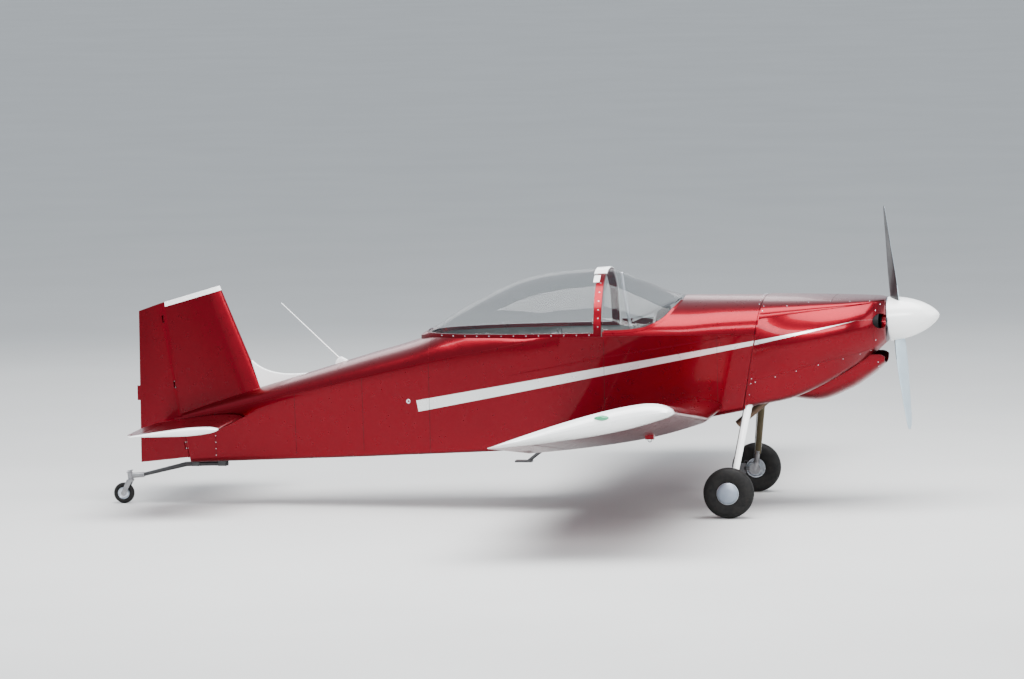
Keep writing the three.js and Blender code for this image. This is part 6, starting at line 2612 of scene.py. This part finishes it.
    def under(self) -> None:
        """Adds a small block in satin black under the belly behind the main spar: painted shade where shadow
        falls under the belly.
        """
        body = plate([(312, 444), (331, 399), (350, 399), (460, 470), (460, 500), (312, 480)], -22, 22)
        shape = carved(body, self.fuselage.body(200, 620, -0.5))
        Piece("belly_fairing", shape, self.finishes.black, bevel=0.004).build()

    def build(self) -> None:
        """Builds all the fittings."""
        self.scoop()
        self.exhaust()
        self.antenna()
        self.screen_strip()
        self.ducts()
        self.under()


@dataclass
class Studio:
    """The pale floor, the soft lights and the camera at the photograph's angle."""

    azimuth: float = 9.39
    elevation: float = 5.24
    roll: float = 0.98
    distance: float = 43.0
    focal: float = 212.9
    target: Point = (-0.062, 0.0, 1.176)

    def camera(self) -> None:
        """Adds the camera at the photograph's place and angle."""
        az, el, roll = (math.radians(v) for v in (self.azimuth, self.elevation, self.roll))
        back = Vector((math.sin(az) * math.cos(el), -math.cos(az) * math.cos(el), math.sin(el)))
        right = (-back).cross(Vector((0, 0, 1))).normalized()
        up = right.cross(-back)
        turned = (right * math.cos(roll) - up * math.sin(roll), up * math.cos(roll) + right * math.sin(roll))
        lens = bpy.data.cameras.new("camera")
        lens.lens = self.focal
        lens.sensor_width = 36.0
        lens.clip_end = 3000.0
        camera = bpy.data.objects.new("camera", lens)
        camera.matrix_world = Matrix.Translation(Vector(self.target) + back * self.distance) @ Matrix(
            (turned[0], turned[1], back)).transposed().to_4x4()
        bpy.context.scene.collection.objects.link(camera)
        bpy.context.scene.camera = camera

    def light(self, name: str, place: Point, aim: Point, size: Pair, power: float,
              tint: Point = (1.0, 1.0, 1.0)) -> None:
        """Adds a soft rectangular light.

        Args:
            name: the light's name.
            place: where it hangs.
            aim: what it points at.
            size: its width and height.
            power: its power in watts.
            tint: its colour.
        """
        lamp = bpy.data.lights.new(name, "AREA")
        lamp.shape = "RECTANGLE"
        lamp.size, lamp.size_y = size
        lamp.energy = power
        lamp.color = tint
        holder = bpy.data.objects.new(name, lamp)
        direction = Vector(aim) - Vector(place)
        turn = direction.to_track_quat("-Z", "Y").to_matrix().to_4x4()
        holder.matrix_world = Matrix.Translation(place) @ turn
        bpy.context.scene.collection.objects.link(holder)

    def build(self) -> None:
        """Lays the floor, hangs the lights and sets the camera."""
        self.camera()
        floor = bmesh.new()
        bmesh.ops.create_grid(floor, x_segments=1, y_segments=1, size=900.0)
        data = bpy.data.meshes.new("studio_floor")
        floor.to_mesh(data)
        floor.free()
        data.materials.append(Finish("pale_floor", (0.56, 0.56, 0.55), (0.53, 0.53, 0.52),
                                     roughness=(0.75, 0.85), grain=0.6).make())
        ground = bpy.data.objects.new("studio_floor", data)
        bpy.context.scene.collection.objects.link(ground)
        world = bpy.data.worlds.new("soft_sky")
        world.use_nodes = True
        sky = world.node_tree.nodes["Background"]
        sky.inputs["Color"].default_value = (0.80, 0.87, 0.95, 1.0)
        sky.inputs["Strength"].default_value = 1.0
        bpy.context.scene.world = world
        self.light("overhead", (1.0, -2.0, 9.0), (0, 0, 1), (12.0, 7.0), 3200.0)
        self.light("near_side", (4.0, -13.0, 7.0), (0, 0, 1), (10.0, 3.0), 1700.0)
        self.light("nose_side", (11.0, -3.0, 4.0), (1, 0, 1.2), (5.0, 5.0), 350.0)
        self.light("far_side", (-4.0, 11.0, 6.0), (0, 0, 1), (10.0, 4.0), 350.0)


def main() -> None:
    """Builds each sub-assembly in order."""
    logging.basicConfig(level=logging.INFO, format="%(message)s")
    finishes = Finishes()
    Studio().build()
    fuselage = Fuselage(finishes)
    canopy = Canopy(finishes, fuselage)
    fuselage.build(canopy.screen())
    cowling = Cowling(finishes, fuselage)
    cowling.build()
    canopy.build()
    wing = Wing(finishes)
    wing.build()
    Tail(finishes, fuselage).build()
    MainGear(finishes, Wheel(finishes)).build()
    Propeller(finishes, cowling).build()
    Trim(finishes, fuselage, cowling, canopy, wing).build()
    TailWheel(finishes, fuselage).build()
    Fittings(finishes, fuselage, cowling, canopy).build()
    Cabin(finishes).build()
    Polished(finishes).build()


if __name__ == "__main__":
    main()
